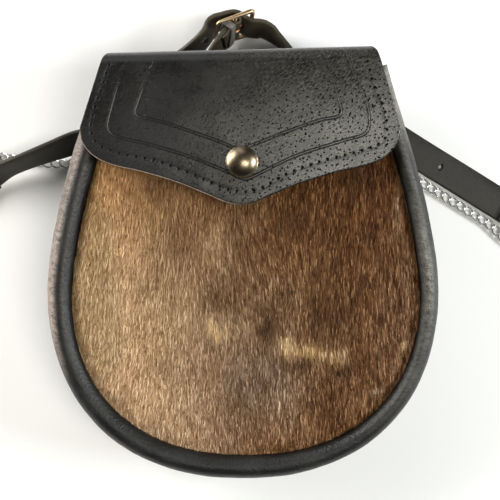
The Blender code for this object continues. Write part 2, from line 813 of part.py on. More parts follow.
def make_buckle_strap():
    """A strap folded round a ring at its first end and round the buckle's bar at the other."""
    stations = BUCKLE_STRAP_ROUTE + buckle_stations(BUCKLE_STRAP_END, -BUCKLE_UP)
    frames = strap_frames(stations)
    total = frames[-1][0]
    bar, away, ring_fold = fold(frames, False, 1, RING_WIRE)
    ring = make_ring("strap_ring_left", bar, away, frames[0][3])
    sections = ring_fold[::-1]
    for length, middle, _, across, out in thinned(frames, [total - s for s in FOLD_STATIONS]):
        thick = skived(min(length, total - length))
        sections.append(strap_section(middle, across, out, STRAP_HALF, thick))
    sections += fold(frames, True, -1, BUCKLE_WIRE)[2]
    print(f"buckle strap: {total:.1f} mm from bar to bar")
    strap = add_piece("buckle_strap", loft_mesh("buckle_strap", sections), black_leather, table)
    slot = box_mesh("prong_slot", buckle_point(SLOT_ALONG, 0.0), PRONG_SLOT)
    combine(strap, add_cutter("prong_slot", slot), "DIFFERENCE")
    return ring, frames


def make_keeper(frames):
    """A leather loop round the strap and its folded end, next to the buckle."""
    turn = BUCKLE_WIRE + GAP + SKIVED_THICK / 2
    inner, outer = [], []
    for length in KEEPER_STATIONS:
        _, middle, _, across, out = frame_at(frames, frames[-1][0] - length)
        high = skived(length) / 2 + GAP
        low = -fold_lift(length, turn) - SKIVED_THICK / 2 - GAP
        centre = middle + out * (high + low) / 2
        half = STRAP_HALF + KEEPER_EASE
        inner.append(strap_section(centre, across, out, half, high - low))
        room = high - low + 2 * KEEPER_THICK
        outer.append(strap_section(centre, across, out, half + KEEPER_THICK, room))
    add_piece("keeper", sleeve_mesh("keeper", inner, outer), black_leather, table)


def make_billet():
    """A strap folded round a ring, that rises to the buckle, passes through it and ends free."""
    through = buckle_stations(BILLET_THROUGH, BUCKLE_UP)
    frames = strap_frames(BILLET_ROUTE + through + TAIL_ROUTE)
    total = frames[-1][0]
    bar, away, ring_fold = fold(frames, False, 1, RING_WIRE)
    ring = make_ring("strap_ring_right", bar, away, frames[0][3])
    sections = ring_fold[::-1]
    for length, middle, _, across, out in thinned(frames):
        share = ((total - length) / TIP_LENGTH) ** TIP_POWER
        half = STRAP_HALF * min(1.0, TIP_BLUNT + (1 - TIP_BLUNT) * share)
        sections.append(strap_section(middle, across, out, half, skived(length)))
    billet = add_piece("billet_strap", loft_mesh("billet_strap", sections), black_leather, table)
    crossing = buckle_point(*PRONG_CROSSING)
    at_prong = min(frames, key=lambda frame: (frame[1] - crossing).length)
    spacing = (at_prong[0] - FIRST_HOLE) / HOLES_TO_BUCKLE
    print(f"billet strap: {total:.1f} mm from bar to tip, holes every {spacing:.2f} mm")
    bm = bmesh.new()
    for hole in (*range(HOLES_TO_BUCKLE), HOLES_TO_BUCKLE + 1):
        _, middle, _, _, out = frame_at(frames, FIRST_HOLE + spacing * hole)
        reach = out * HOLE_CUT
        add_rod(bm, middle - reach, middle + reach, HOLE_RADIUS, HOLE_SIDES)
    start, end = (buckle_point(*place) for place in PRONG_HOLE_ENDS)
    add_rod(bm, start, end, PRONG_HOLE, HOLE_SIDES)
    combine(billet, add_cutter("billet_holes", mesh_of("billet_holes", bm)), "DIFFERENCE")
    return ring


def make_buckle():
    corners = []
    for side_along, side_up, start in ((1, 1, 0), (-1, 1, 90), (-1, -1, 180), (1, -1, 270)):
        along = side_along * (BUCKLE_HALF_LENGTH - BUCKLE_CORNER)
        up = side_up * (BUCKLE_HALF_WIDTH - BUCKLE_CORNER)
        for step in range(3):
            angle = math.radians(start + 45 * step)
            reach_along = along + BUCKLE_CORNER * math.cos(angle)
            reach_up = up + BUCKLE_CORNER * math.sin(angle)
            corners.append(buckle_point(reach_along, 0.0, reach_up))
    loop = wire_curve("buckle_loop", corners, BUCKLE_WIRE, cyclic=True)
    guide = bpy.data.objects.new("buckle_loop", loop)
    frame = add_piece("buckle_frame", bpy.data.meshes.new_from_object(guide), brass, table)
    bpy.data.objects.remove(guide)
    bm = bmesh.new()
    reach = BUCKLE_HALF_WIDTH
    add_rod(bm, buckle_point(0, 0, -reach), buckle_point(0, 0, reach), BUCKLE_WIRE, 8)
    combine(frame, add_cutter("buckle_bar", mesh_of("buckle_bar", bm)), "UNION")

    points = []
    for step in range(7):
        angle = math.radians(120 + 40 * step)
        points.append(buckle_point(PRONG_EYE * math.cos(angle), PRONG_EYE * math.sin(angle)))
    points += [buckle_point(along, out) for along, out in PRONG_TIP]
    data = wire_curve("buckle_prong", points, PRONG_WIRE, cyclic=False)
    add_piece("buckle_prong", data, brass, table)


# ---------------------------------------------------------------- build

for old in list(bpy.data.objects):
    bpy.data.objects.remove(old, do_unlink=True)
parts = new_collection("sporran")
cutters = new_collection("cutters")
black_leather = new_material("black_leather", LEATHER)
brown_hide = new_material("brown_hide", HIDE)
old_brass = new_material("old_brass", OLD_BRASS)
brass = new_material("brass", BRASS)
bright_steel = new_material("bright_steel", STEEL)

table = new_empty("sporran_on_table")
table.location = (CENTRE_SHIFT[0] * MM, CENTRE_SHIFT[1] * MM, 0.0)
lowest = (BODY_DROP - BACK_INSET) * math.sin(POUCH_TILT)
pouch_to_table = Matrix.Translation((POUCH_X, POUCH_Y, lowest)) @ Matrix.Rotation(
    POUCH_TILT, 4, "X"
)
pouch = new_empty("pouch", table)
pouch.location = Vector((POUCH_X, POUCH_Y, lowest)) * MM
pouch.rotation_euler.x = POUCH_TILT

make_back_panel()
make_gusset()
make_front_panel()
make_flap()
make_press_stud()
left_ring = make_tab(-1)
right_ring = make_tab(1)
far_left_ring, buckle_strap_frames = make_buckle_strap()
make_keeper(buckle_strap_frames)
far_right_ring = make_billet()
make_buckle()
make_chain("chain_left", LEFT_CHAIN_ROUTE, left_ring, far_left_ring)
make_chain("chain_right", RIGHT_CHAIN_ROUTE, right_ring, far_right_ring)
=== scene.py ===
"""The looks of a day sporran that lies on its back: leather, haired hide, stud, buckle and chains.

The pieces are worked out in millimetres. The pouch has its own axes, with x across, y towards
the mouth and z out of its back, and is tipped a little on the table. The strap and the chains
are laid out on the table itself.
"""

import json
import math

import bmesh
import bpy
import numpy as np
from mathutils import Matrix, Vector, noise
from mathutils.bvhtree import BVHTree
from mathutils.kdtree import KDTree

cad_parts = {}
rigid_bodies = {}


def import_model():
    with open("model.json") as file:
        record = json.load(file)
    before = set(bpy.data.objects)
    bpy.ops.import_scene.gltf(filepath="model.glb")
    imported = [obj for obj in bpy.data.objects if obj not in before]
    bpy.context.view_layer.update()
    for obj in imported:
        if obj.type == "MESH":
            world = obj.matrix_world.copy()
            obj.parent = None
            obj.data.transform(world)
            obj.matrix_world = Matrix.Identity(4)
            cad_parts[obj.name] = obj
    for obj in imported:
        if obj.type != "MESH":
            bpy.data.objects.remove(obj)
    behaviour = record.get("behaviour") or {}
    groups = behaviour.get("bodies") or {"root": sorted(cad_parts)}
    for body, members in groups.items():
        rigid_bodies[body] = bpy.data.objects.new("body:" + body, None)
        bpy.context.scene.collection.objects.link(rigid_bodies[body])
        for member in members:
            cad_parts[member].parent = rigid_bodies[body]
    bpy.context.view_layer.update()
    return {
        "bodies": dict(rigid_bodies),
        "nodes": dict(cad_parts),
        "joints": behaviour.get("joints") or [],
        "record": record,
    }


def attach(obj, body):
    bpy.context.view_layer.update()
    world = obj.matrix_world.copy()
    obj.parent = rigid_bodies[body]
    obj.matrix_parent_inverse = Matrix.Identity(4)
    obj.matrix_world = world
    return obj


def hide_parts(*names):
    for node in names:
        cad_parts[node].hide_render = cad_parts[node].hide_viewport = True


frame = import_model()

MM = 0.001
GAP = 0.3

# ---- where the pouch lies
POUCH_TILT = math.radians(6.0)
POUCH_PLACE = Vector((1.9, -21.0, 9.47))
TABLE_SHIFT = Vector((5.2, -5.2, 0.0))  # of the strap's and the chains' routes

# ---- the pouch's outline
BODY_HALF_WIDTH, BODY_DROP, BODY_RISE, BODY_TOP = 93.3, 91.4, 190.0, 105.5
LOWER_POWER, UPPER_POWER = 2.25, 1.5
LIP_SHIFT, LIP_DROP = 1.3, 1.5
BACK_THICK, BACK_INSET, BACK_TOP = 2.4, 0.8, 103.0
BACK_COLUMNS, BACK_SEAM_INSET = 180, 4.6
GUSSET_THICK, GUSSET_COLUMNS = 1.8, 300
GUSSET_SECTION = [
    # inset from the outline, z, lip
    (10.5, 36.6, 1.0),
    (9.6, 40.6, 0.9),
    (6.6, 43.0, 0.5),
    (3.2, 42.2, 0.2),
    (0.9, 38.4, 0.0),
    (0.0, 31.0, 0.0),
    (2.2, 5.4, 0.0),
    (9.0, 2.75, 0.0),
]
MOUTH_FLARE, MOUTH_FLARE_START, MOUTH_RISE = 2.2, 76.0, 1.6  # the mouth stands open at the right
DIMPLE, DIMPLE_DEPTH, DIMPLE_RADIUS = Vector((77.1, 46.2, 43.0)), 0.9, 5.0
FRONT_THICK, FRONT_TOP, FRONT_COLUMNS, FRONT_RINGS = 2.0, 98.0, 150, 24
FRONT_CROWN, FRONT_FADE, FRONT_FADE_SHARE, FRONT_SPINE = 5.5, 70.0, 0.45, 0.45
FRONT_SECTION = [
    # inset from the outline, z
    (9.0, 33.9),
    (12.0, 35.6),
    (15.6, 38.0),
]

# ---- the flap
FLAP_THICK, FLAP_SHIFT, FLAP_SLOPE = 2.6, -1.3, 0.026
FLAP_TOP, FLAP_TOP_HALF, FLAP_TAIL = 113.7, 62.6, 86.0
FLAP_WALL = FLAP_TOP - FLAP_THICK / 2  # the middle of the flap's wall over the mouth
FLAP_FLARE = 0.42  # how fast the fold widens towards the front
SHOULDER_DROP, SHOULDER_REACH = 1.5, 2.2  # the rounding of the fold's two ends
RIM_ROWS = (1.7, 1.15, 0.6, 0.0)  # from the flap's edge
FLAP_FRONT_Z, FLAP_CROWN, FOLD_CROWN = 45.4, 3.2, 0.12
FLAP_REAR_RADIUS, FLAP_FRONT_RADIUS = 6.0, 5.5
FLAP_COLUMNS, FACE_ROWS, FACE_LENGTH, CROWN_REACH = 150, 58, 63.0, 0.62
FACE_UP = 0.2  # the least z of the normals on the flap's face
GRAIN_SLANT = -38.0  # degrees
FLAP_EDGE = [
    # x from the flap's middle, y
    (0.0, 42.0),
    (6.0, 42.9),
    (14.0, 46.2),
    (28.0, 51.9),
    (44.0, 56.8),
    (58.0, 60.0),
    (66.0, 63.2),
    (71.0, 67.5),
    (73.6, 72.4),
    (74.2, 77.0),
]
FLAP_WIDEST = FLAP_EDGE[-1][0]
OUTER_CREASE = [
    # x, y on the flap
    (-54.0, 109.4),
    (-58.3, 94.4),
    (-61.8, 82.0),
    (-62.3, 77.6),
    (-60.2, 74.4),
    (-55.0, 72.5),
    (-42.3, 69.7),
    (-24.3, 64.2),
    (-8.2, 57.8),
    (-2.0, 55.0),
    (1.5, 54.1),
    (5.5, 55.6),
    (10.7, 58.2),
    (25.4, 65.1),
    (45.7, 71.5),
    (54.0, 73.8),
    (57.2, 75.8),
    (58.3, 79.2),
    (57.2, 88.5),
    (50.6, 103.1),
    (47.3, 113.5),
]
INNER_CREASE = [
    # x, y on the flap
    (-44.0, 101.2),
    (-48.9, 87.6),
    (-49.6, 84.6),
    (-47.6, 82.5),
    (-39.0, 80.7),
    (-24.3, 76.1),
    (-9.1, 70.6),
    (-1.8, 67.9),
    (5.6, 70.2),
    (20.8, 76.1),
    (35.5, 81.1),
    (43.2, 82.6),
    (45.5, 84.9),
    (44.2, 89.5),
    (39.5, 106.2),
    (36.7, 113.0),
]
FLAP_SEAM = [
    # x, y on the flap
    (-61.4, 106.3),
    (-64.8, 96.2),
    (-67.7, 88.5),
    (-70.1, 79.3),
    (-69.4, 73.3),
    (-66.9, 70.1),
    (-60.0, 66.4),
    (-51.2, 64.6),
    (-39.1, 62.1),
    (-24.4, 56.6),
    (-10.5, 50.6),
    (-1.3, 48.1),
    (7.7, 49.6),
    (20.8, 56.6),
    (35.6, 62.1),
    (55.9, 67.4),
    (64.7, 71.5),
    (66.5, 77.5),
    (65.1, 86.6),
    (60.3, 97.2),
    (57.4, 108.1),
]
UPRIGHT_LENGTHS = (34.5, 18.0)  # of the creases' left ends, which get a painted highlight from the light on the left
CREASE_STEP, SEAM_STEP, STITCH_PITCH = 0.2, 0.3, 4.1  # from point to point along each line
CREASE_DEPTH, HOLE_DEPTH, SEAM_DEPTH, EDGE_DROP = 0.03, 0.16, 0.12, 0.35
CREASE_WIDTH, HOLE_WIDTH, SEAM_WIDTH, EDGE_WIDTH = 0.9, 0.5, 0.9, 1.3
PRESS_FADE_START, PRESS_FADE = 84.0, 8.0  # on the right the creases fade towards the fold
FINER_REACHES = (1.7, 1.05, 0.8)  # the face is made finer this near to a crease, three times over
THREAD_RADII = (0.08, 0.16, 0.18, 0.18, 0.18, 0.16, 0.08)
STITCH_START, STITCH_SPAN, STITCH_RISE, STITCH_DIP = 0.13, 0.74, 0.12, 0.35

# ---- the press stud
CAP_X, CAP_Y = -0.4, 61.8
CAP_PROFILE = [
    # radius, z
    (0.0, 3.6),
    (1.4, 3.53),
    (2.8, 3.3),
    (4.1, 2.88),
    (5.3, 2.3),
    (6.3, 1.6),
    (6.95, 0.98),
    (7.12, 0.8),
    (7.28, 0.8),
    (7.5, 0.66),
    (7.6, 0.42),
    (7.5, 0.1),
    (7.2, 0.0),
    (0.0, 0.0),
]

# ---- tabs, rings and chains
RING_HALF, RING_LEG, RING_WIRE = 9.5, 2.2, 0.9
RING_HANG = math.radians(38.0)
TAB_BAR_X, TAB_Y = 52.0, 67.0
TAB_THICK, TAB_WIDTH, TAB_LENGTH = 1.8, 15.6, 24.0
LINKS = 30
LINK_WIRE, LINK_HALF_WIDTH, LINK_STRAIGHT = 0.54, 1.84, 0.84
LINK_TWIST = math.radians(51.0)
LINK_HOOK = 1.9
LINK_SLANT = math.radians(-24.0)  # curb links lie a little across the chain

# ---- the strap
STRAP_HALF, STRAP_THICK, STRAP_STEP = 8.0, 2.4, 1.1
SKIVED_THICK, SKIVE_START, SKIVE_LENGTH = 1.3, 1.0, 8.0
TIP_LENGTH, TIP_BLUNT, TIP_POWER = 13.0, 0.16, 0.62
HOLE_RADIUS, FIRST_HOLE, PRONG_HOLE_NUMBER = 1.0, 49.9, 5
PLAIN_HOLES = (0, 1, 2, 3, 4, 6)  # the one between is cut along the prong
FOLD_LENGTH, FOLD_POWER = 12.0, 1.5
KEEPER_START, KEEPER_END = 4.0, 8.0
KEEPER_THICK, KEEPER_EASE, KEEPER_SIDES, KEEPER_POWER = 1.0, 0.4, 44, 0.35
KEEPER_BAND = [
    # share along the keeper, share of its thickness
    (0.0, 0.25),
    (0.0, 0.7),
    (0.08, 1.0),
    (0.3, 1.06),
    (0.7, 1.06),
    (0.92, 1.0),
    (1.0, 0.7),
    (1.0, 0.25),
    (0.92, 0.0),
    (0.08, 0.0),
]

# ---- the buckle, with its own axes: along the strap, up the strap's width, out of the loop
BUCKLE_CENTRE = Vector((-8.1, 111.1, 12.7))
BUCKLE_ALONG = Vector((0.901, 0.3585, -0.242)).normalized()
BUCKLE_UP = Vector((0.09, 0.39, 0.91)).normalized()
BUCKLE_OUT = BUCKLE_UP.cross(BUCKLE_ALONG).normalized()
BUCKLE_HALF_LENGTH, BUCKLE_HALF_WIDTH = 9.6, 10.7
BUCKLE_WIRE, BUCKLE_CORNER = 1.0, 1.8
BUCKLE_RIGHT, BUCKLE_LEFT, BUCKLE_BAR = 1.25, 0.88, 0.98  # how thick its parts are, in wires
PRONG_WIRE, PRONG_HOLE, PRONG_EYE = 0.9, 1.3, 2.2
PRONG_SLOT = Vector((9.5, 8.0, 2.7))
PRONG_TIP = [
    # along the buckle, out of the loop, radius
    (4.0, 0.4, 0.9),
    (7.2, 1.6, 0.86),
    (10.6, 2.25, 0.74),
    (11.8, 2.1, 0.55),
]

# ---- routes on the table, with the roll of the strap's width in degrees
BUCKLE_STRAP_ROUTE = [
    # x, y, z, roll
    (-141.0, 33.2, 4.6, 12.0),
    (-134.0, 36.0, 6.5, 38.0),
    (-124.0, 40.0, 10.6, 66.0),
    (-112.0, 44.8, 12.2, 68.0),
    (-100.0, 49.5, 11.2, 62.0),
    (-88.0, 54.4, 8.6, 56.0),
    (-73.0, 60.5, 8.4, 80.0),
    (-57.0, 66.5, 8.0, 112.0),
    (-41.0, 73.5, 7.0, 138.0),
    (-27.0, 81.5, 8.2, 164.0),
    (-19.4, 89.0, 11.2, 187.0),
    (-16.6, 94.8, 14.0, 212.0),
    (-15.8, 99.8, 16.4, 240.0),
]
BUCKLE_STRAP_END = [
    # along the buckle, out of the loop
    (-9.6, -4.7),
    (-6.2, -2.0),
    (-3.0, 0.4),
    (0.0, 1.95),
]
BILLET_ROUTE = [
    # x, y, z, roll
    (139.5, 15.8, 1.2, 0.0),
    (127.6, 23.2, 1.2, 0.0),
    (105.5, 37.0, 1.2, 0.0),
    (83.4, 50.7, 1.2, 0.0),
    (64.0, 63.5, 1.5, 8.0),
    (47.0, 76.0, 4.6, 36.0),
    (31.5, 89.0, 8.0, 70.0),
    (20.0, 100.6, 9.0, 90.0),
    (12.0, 107.6, 9.4, 104.0),
]
BILLET_THROUGH = [
    # along the buckle, out of the loop
    (13.4, -6.2),
    (10.0, -4.1),
    (7.3, -2.3),
    (5.3, 0.8),
    (3.1, 4.3),
    (0.0, 5.5),
    (-4.0, 6.0),
    (-9.0, 5.8),
]
TAIL_ROUTE = [
    # x, y, z, roll
    (-22.2, 106.6, 13.8, 107.0),
    (-32.0, 97.2, 10.6, 116.0),
    (-41.5, 89.8, 8.8, 132.0),
    (-50.0, 84.0, 7.6, 146.0),
]
LEFT_CHAIN_ROUTE = [
    # x, y, z, roll of the chain
    (-73.5, 49.0, 3.0, -28.0),
    (-80.0, 46.6, 2.2, -10.0),
    (-88.0, 44.8, 2.1, 0.0),
    (-97.0, 44.0, 2.1, 0.0),
    (-108.0, 44.6, 2.1, 0.0),
    (-120.0, 46.4, 2.1, 0.0),
    (-134.0, 48.4, 2.1, 0.0),
    (-148.0, 48.6, 2.1, 0.0),
    (-159.5, 44.0, 2.1, 0.0),
    (-166.0, 35.6, 2.2, 12.0),
    (-162.0, 27.2, 2.6, 30.0),
]
RIGHT_CHAIN_ROUTE = [
    # x, y, z, roll of the chain
    (68.5, 46.2, 3.0, -28.0),
    (77.2, 40.8, 2.2, -8.0),
    (88.0, 34.1, 2.1, 0.0),
    (99.3, 27.1, 2.1, 0.0),
    (110.4, 20.2, 2.1, 0.0),
    (121.4, 13.3, 2.1, 0.0),
    (130.5, 5.0, 2.1, 0.0),
    (138.8, -1.4, 2.1, 0.0),
    (147.2, -4.2, 2.1, 0.0),
    (154.2, -1.6, 2.2, 12.0),
    (155.4, 4.0, 2.6, 30.0),
]

# ---- the hair
HAIR_SPACING, HAIR_LENGTH, HAIR_WIDTH = 0.35, 5.8, 0.26
HAIR_PIECES = 4
ROOT_INSET, TIP_INSET = 11.0, 10.2  # from the outline to the roots and to the tips
UNDER_FLAP = 9.0  # how far the hair goes on under the flap's edge
BLADE_SHADES = (0.42, 0.42, 0.95, 0.95, 1.12)  # of a blade's corners, from its root to its tip: the dark root is painted shade under the hairs that lie over it
PALE_SHARE, DARK_SHARE = 0.045, 0.025  # of pale hairs and shorter dark ones that lie on top
TOP_LIFT, TOP_WIDTH, TOP_ROLL, DARK_LENGTH = 0.45, 1.6, 0.4, 0.65  # of the hairs that lie on top
HAIR_TONES = [
    # x across the pouch, red, green and blue of the hair
    (-84.0, 0.400, 0.282, 0.155),
    (-62.0, 0.510, 0.333, 0.192),
    (-36.0, 0.345, 0.222, 0.127),
    (-8.0, 0.180, 0.105, 0.055),
    (22.0, 0.152, 0.078, 0.034),
    (52.0, 0.112, 0.050, 0.019),
    (84.0, 0.150, 0.074, 0.035),
]
HAIR_CONTRAST = [
    # x across the pouch, how much the single locks differ
    (-50.0, 0.62),
    (-15.0, 0.9),
    (20.0, 1.7),
    (84.0, 2.0),
]
PAINTED_HAIR_SHADE = [
    # y up the pouch, painted shade on the hair in red, green and blue: darker towards the flap, for its
    # shadow, and lighter towards the bottom
    (-84.0, 1.50, 1.50, 1.54),
    (-60.0, 1.32, 1.32, 1.36),
    (-40.0, 1.14, 1.13, 1.12),
    (0.0, 1.02, 1.00, 0.96),
    (28.0, 0.94, 0.87, 0.77),
    (48.0, 0.82, 0.70, 0.53),
    (70.0, 0.64, 0.50, 0.34),
]
HAIR_LEAN = [
    # x across the pouch, how far the hair leans to the right
    (-84.0, -0.17),
    (-50.0, -0.13),
    (-24.0, 0.04),
    (5.0, 0.09),
    (45.0, 0.02),
    (84.0, 0.05),
]
# the dark colour serves both dark patches of the hide and painted shadow under the flap
PALE, OCHRE, DARK_AND_SHADE = (0.62, 0.47, 0.30), (0.38, 0.23, 0.10), (0.050, 0.020, 0.0075)
TAN, MAUVE, GOLD = (0.40, 0.27, 0.155), (0.21, 0.148, 0.108), (0.66, 0.46, 0.24)
HAIR_MARKS = [
    # x, y, half width, half height, strength, colour
    (8.0, -42.0, 20.0, 18.0, 0.45, MAUVE),
    (-12.0, -16.0, 15.0, 7.5, 0.55, TAN),
    # this mark and the next two are painted shadow under the flap's edge
    (-40.0, 49.0, 11.0, 6.5, 0.50, DARK_AND_SHADE),
    (23.0, 35.0, 8.0, 9.0, 0.60, DARK_AND_SHADE),
    (53.8, 53.2, 9.0, 9.0, 0.60, DARK_AND_SHADE),
    (11.8, -14.0, 5.0, 10.0, 0.60, DARK_AND_SHADE),
    (10.6, -18.0, 3.8, 5.0, 0.75, DARK_AND_SHADE),
    (33.5, -12.0, 4.0, 13.0, 0.60, DARK_AND_SHADE),
    (41.0, -12.9, 8.0, 9.0, 0.40, DARK_AND_SHADE),
    (-15.8, -15.5, 1.3, 5.0, 0.70, GOLD),
    (-12.8, -19.5, 1.4, 4.5, 0.90, GOLD),
    (-9.0, -17.5, 1.0, 3.6, 0.60, GOLD),
    (-83.0, -20.0, 7.0, 16.0, 0.35, GOLD),
    (26.0, -34.2, 9.0, 3.4, 0.70, DARK_AND_SHADE),
    (46.5, -37.5, 6.0, 5.0, 0.65, DARK_AND_SHADE),
    (21.0, -29.0, 4.5, 4.0, 0.60, OCHRE),
    (28.5, -27.6, 7.0, 3.4, 0.75, OCHRE),
    (37.0, -29.4, 7.0, 3.4, 0.75, OCHRE),
    (44.8, -31.0, 4.8, 4.4, 0.75, OCHRE),
    (20.6, -24.4, 3.7, 3.6, 0.80, GOLD),
    (30.0, -26.6, 4.4, 1.3, 0.40, GOLD),
    (46.4, -30.0, 2.0, 3.0, 0.50, PALE),
    (39.5, -29.6, 3.0, 1.4, 0.45, PALE),
    (72.5, 38.0, 2.6, 14.0, 0.18, TAN),
    (76.5, 8.0, 2.0, 12.0, 0.18, TAN),
    (76.0, -26.8, 2.2, 3.2, 0.60, OCHRE),
    (77.0, -27.2, 1.2, 2.6, 0.60, PALE),
    (62.9, -47.9, 2.4, 1.4, 0.65, PALE),
    (17.2, -54.8, 0.8, 2.8, 0.85, PALE),
]
LIGHT_POWERS = (0.88, 1.08, 1.36)  # dark hairs are redder, and light ones paler
MARK_DROP = 3.7  # from a hair's root to the middle of what shows of it

# ---- the stage, in metres
CAMERA_PLACE, CAMERA_LENS = (0.0052, -0.0052, 0.6657), 93.79
DARK_SKY = (-0.26, -0.42, 1.0)  # towards the darkest part of the sky
LIGHTS = [
    # name, place, what it points at, size, power, colour
    ("key", (0.275, -0.172, 1.0), (0.0, 0.0, 0.0), (0.40, 0.24), 4.6, (1.0, 0.97, 0.86)),
    ("low_window", (1.1, -0.05, 0.62), (0.0, 0.0, 0.03), (0.22, 0.5), 17.5, (0.94, 0.98, 1.0)),
    ("left_window", (-1.1, 0.40, 0.42), (0.0, 0.0, 0.0), (1.3, 0.6), 31.0, (1.0, 0.985, 0.94)),
    ("back_window", (-0.75, 1.25, 0.75), (0.0, 0.0, 0.0), (2.4, 1.2), 9.0, (1.0, 1.0, 1.0)),
]


# ---------------------------------------------------------------- finishes


def add_node(tree, kind, sockets=None, **settings):
    """A new node with these settings, whose sockets are set or linked."""
    made = tree.nodes.new(kind)
    for key, value in settings.items():
        setattr(made, key, value)
    for key, value in (sockets or {}).items():
        if isinstance(value, Value):
            tree.links.new(value.socket, made.inputs[key])
        else:
            made.inputs[key].default_value = value
    return made


class Value:
    """What a node gives. A sum or a product of values is a node too."""

    def __init__(self, tree, socket):
        self.tree = tree
        self.socket = socket

    def reckoned(self, operation, first, second=0.0):
        made = add_node(self.tree, "ShaderNodeMath", {0: first, 1: second}, operation=operation)
        return Value(self.tree, made.outputs[0])

    def __add__(self, other):
        return self.reckoned("ADD", self, other)

    def __sub__(self, other):
        return self.reckoned("SUBTRACT", self, other)

    def __rsub__(self, other):
        return self.reckoned("SUBTRACT", other, self)

    def __mul__(self, other):
        return self.reckoned("MULTIPLY", self, other)

    def __abs__(self):
        return self.reckoned("ABSOLUTE", self)

    def at_least(self, other):
        return self.reckoned("MAXIMUM", self, other)

    def at_most(self, other):
        return self.reckoned("MINIMUM", self, other)

    def parts(self):
        """Its x, y and z."""
        made = add_node(self.tree, "ShaderNodeSeparateXYZ", {0: self})
        return [Value(self.tree, socket) for socket in made.outputs]

    def ranged(self, low, high, to_low=0.0, to_high=1.0):
        """Goes smoothly from to_low to to_high while the value goes from low to high."""
        sockets = {"Value": self, "From Min": low, "From Max": high, "To Min": to_low, "To Max": to_high}
        made = add_node(self.tree, "ShaderNodeMapRange", sockets, interpolation_type="SMOOTHSTEP")
        return Value(self.tree, made.outputs["Result"])

    def between(self, first, second):
        """The first colour where the value is 0, and the second where it is 1."""
        sockets = {0: self}
        for index, colour in ((6, first), (7, second)):
            sockets[index] = colour if isinstance(colour, Value) else (*colour, 1.0)
        made = add_node(self.tree, "ShaderNodeMix", sockets, data_type="RGBA")
        return Value(self.tree, made.outputs[2])


class Finish:
    """A material in the making. The values given here are the same all over it."""

    def __init__(self, name, **values):
        self.material = bpy.data.materials.new(name)
        self.material.use_nodes = True
        self.tree = self.material.node_tree
        self.shader = self.tree.nodes["Principled BSDF"]
        for key, value in values.items():
            self.shader.inputs[key.replace("_", " ")].default_value = value

    def place(self):
        """The piece's own coordinates in metres."""
        return Value(self.tree, add_node(self.tree, "ShaderNodeTexCoord").outputs["Object"])

    def points(self, scale, turn):
        """The place, turned by degrees, with scale as parts to the millimetre along each axis."""
        each = scale if isinstance(scale, tuple) else (scale,) * 3
        sockets = {"Vector": self.place(), "Rotation": (0.0, 0.0, math.radians(turn))}
        turned = Value(self.tree, add_node(self.tree, "ShaderNodeMapping", sockets).outputs[0])
        sockets = {0: turned, 1: [value / MM for value in each]}
        made = add_node(self.tree, "ShaderNodeVectorMath", sockets, operation="MULTIPLY")
        return Value(self.tree, made.outputs[0])

    def noise(self, scale, detail=3.0, roughness=0.55, distortion=0.0, turn=0.0):
        sockets = {
            "Vector": self.points(scale, turn),
            "Scale": 1.0,
            "Detail": detail,
            "Roughness": roughness,
            "Distortion": distortion,
        }
        made = add_node(self.tree, "ShaderNodeTexNoise", sockets)
        return Value(self.tree, made.outputs["Fac"])

    def cells(self, scale, turn=0.0, feature="F1", dimensions="3D"):
        """How far away the nearest of the scattered cells' middles is."""
        sockets = {"Vector": self.points(scale, turn), "Scale": 1.0}
        settings = {"feature": feature, "voronoi_dimensions": dimensions}
        made = add_node(self.tree, "ShaderNodeTexVoronoi", sockets, **settings)
        return Value(self.tree, made.outputs["Distance"])

    def attribute(self, name, output="Fac"):
        made = add_node(self.tree, "ShaderNodeAttribute", attribute_name=name)
        return Value(self.tree, made.outputs[output])

    def put(self, socket, value):
        self.tree.links.new(value.socket, self.shader.inputs[socket])

    def raised(self, height, depth):
        """Relief that is depth millimetres deep where the height goes from 0 to 1."""
        made = add_node(self.tree, "ShaderNodeBump", {"Height": height, "Distance": depth * MM})
        self.put("Normal", Value(self.tree, made.outputs[0]))


def pebbled_leather():
    """Soft black leather with a pebbled grain, paler where its attribute says so: some wear, and mostly
    painted highlights and a painted reflection on the gusset's roll.
    """
    made = Finish("pebbled_leather", Specular_IOR_Level=0.36)
    pebbles = made.cells(0.85, feature="SMOOTH_F1")
    fine = made.noise(2.2, 3.0, 0.6)
    creases = made.noise((0.14, 0.62, 0.3), 2.0, 0.5, 0.6, turn=12.0)
    wear = made.noise(0.045, 4.0, 0.6)
    made.raised(1.0 - pebbles + fine * 0.6 + creases * 0.5, 0.2)
    black = wear.ranged(0.42, 0.72).between((0.0060, 0.0061, 0.0060), (0.0125, 0.0124, 0.0116))
    flecks = (fine + creases * 0.5).ranged(0.60, 0.88, 0.1, 1.0)
    across = made.place().parts()[0]
    # pale paint for the roll, pinker on the left: some wear, and mostly painted highlights and reflections
    pale = across.ranged(-0.02, 0.02).between((0.26, 0.205, 0.172), (0.205, 0.194, 0.163))
    made.put("Base Color", (made.attribute("sheen_and_wear") * flecks).between(black, pale))
    made.put("Roughness", (wear + fine * 0.3).ranged(0.4, 0.9, 0.40, 0.54))
    return made.material


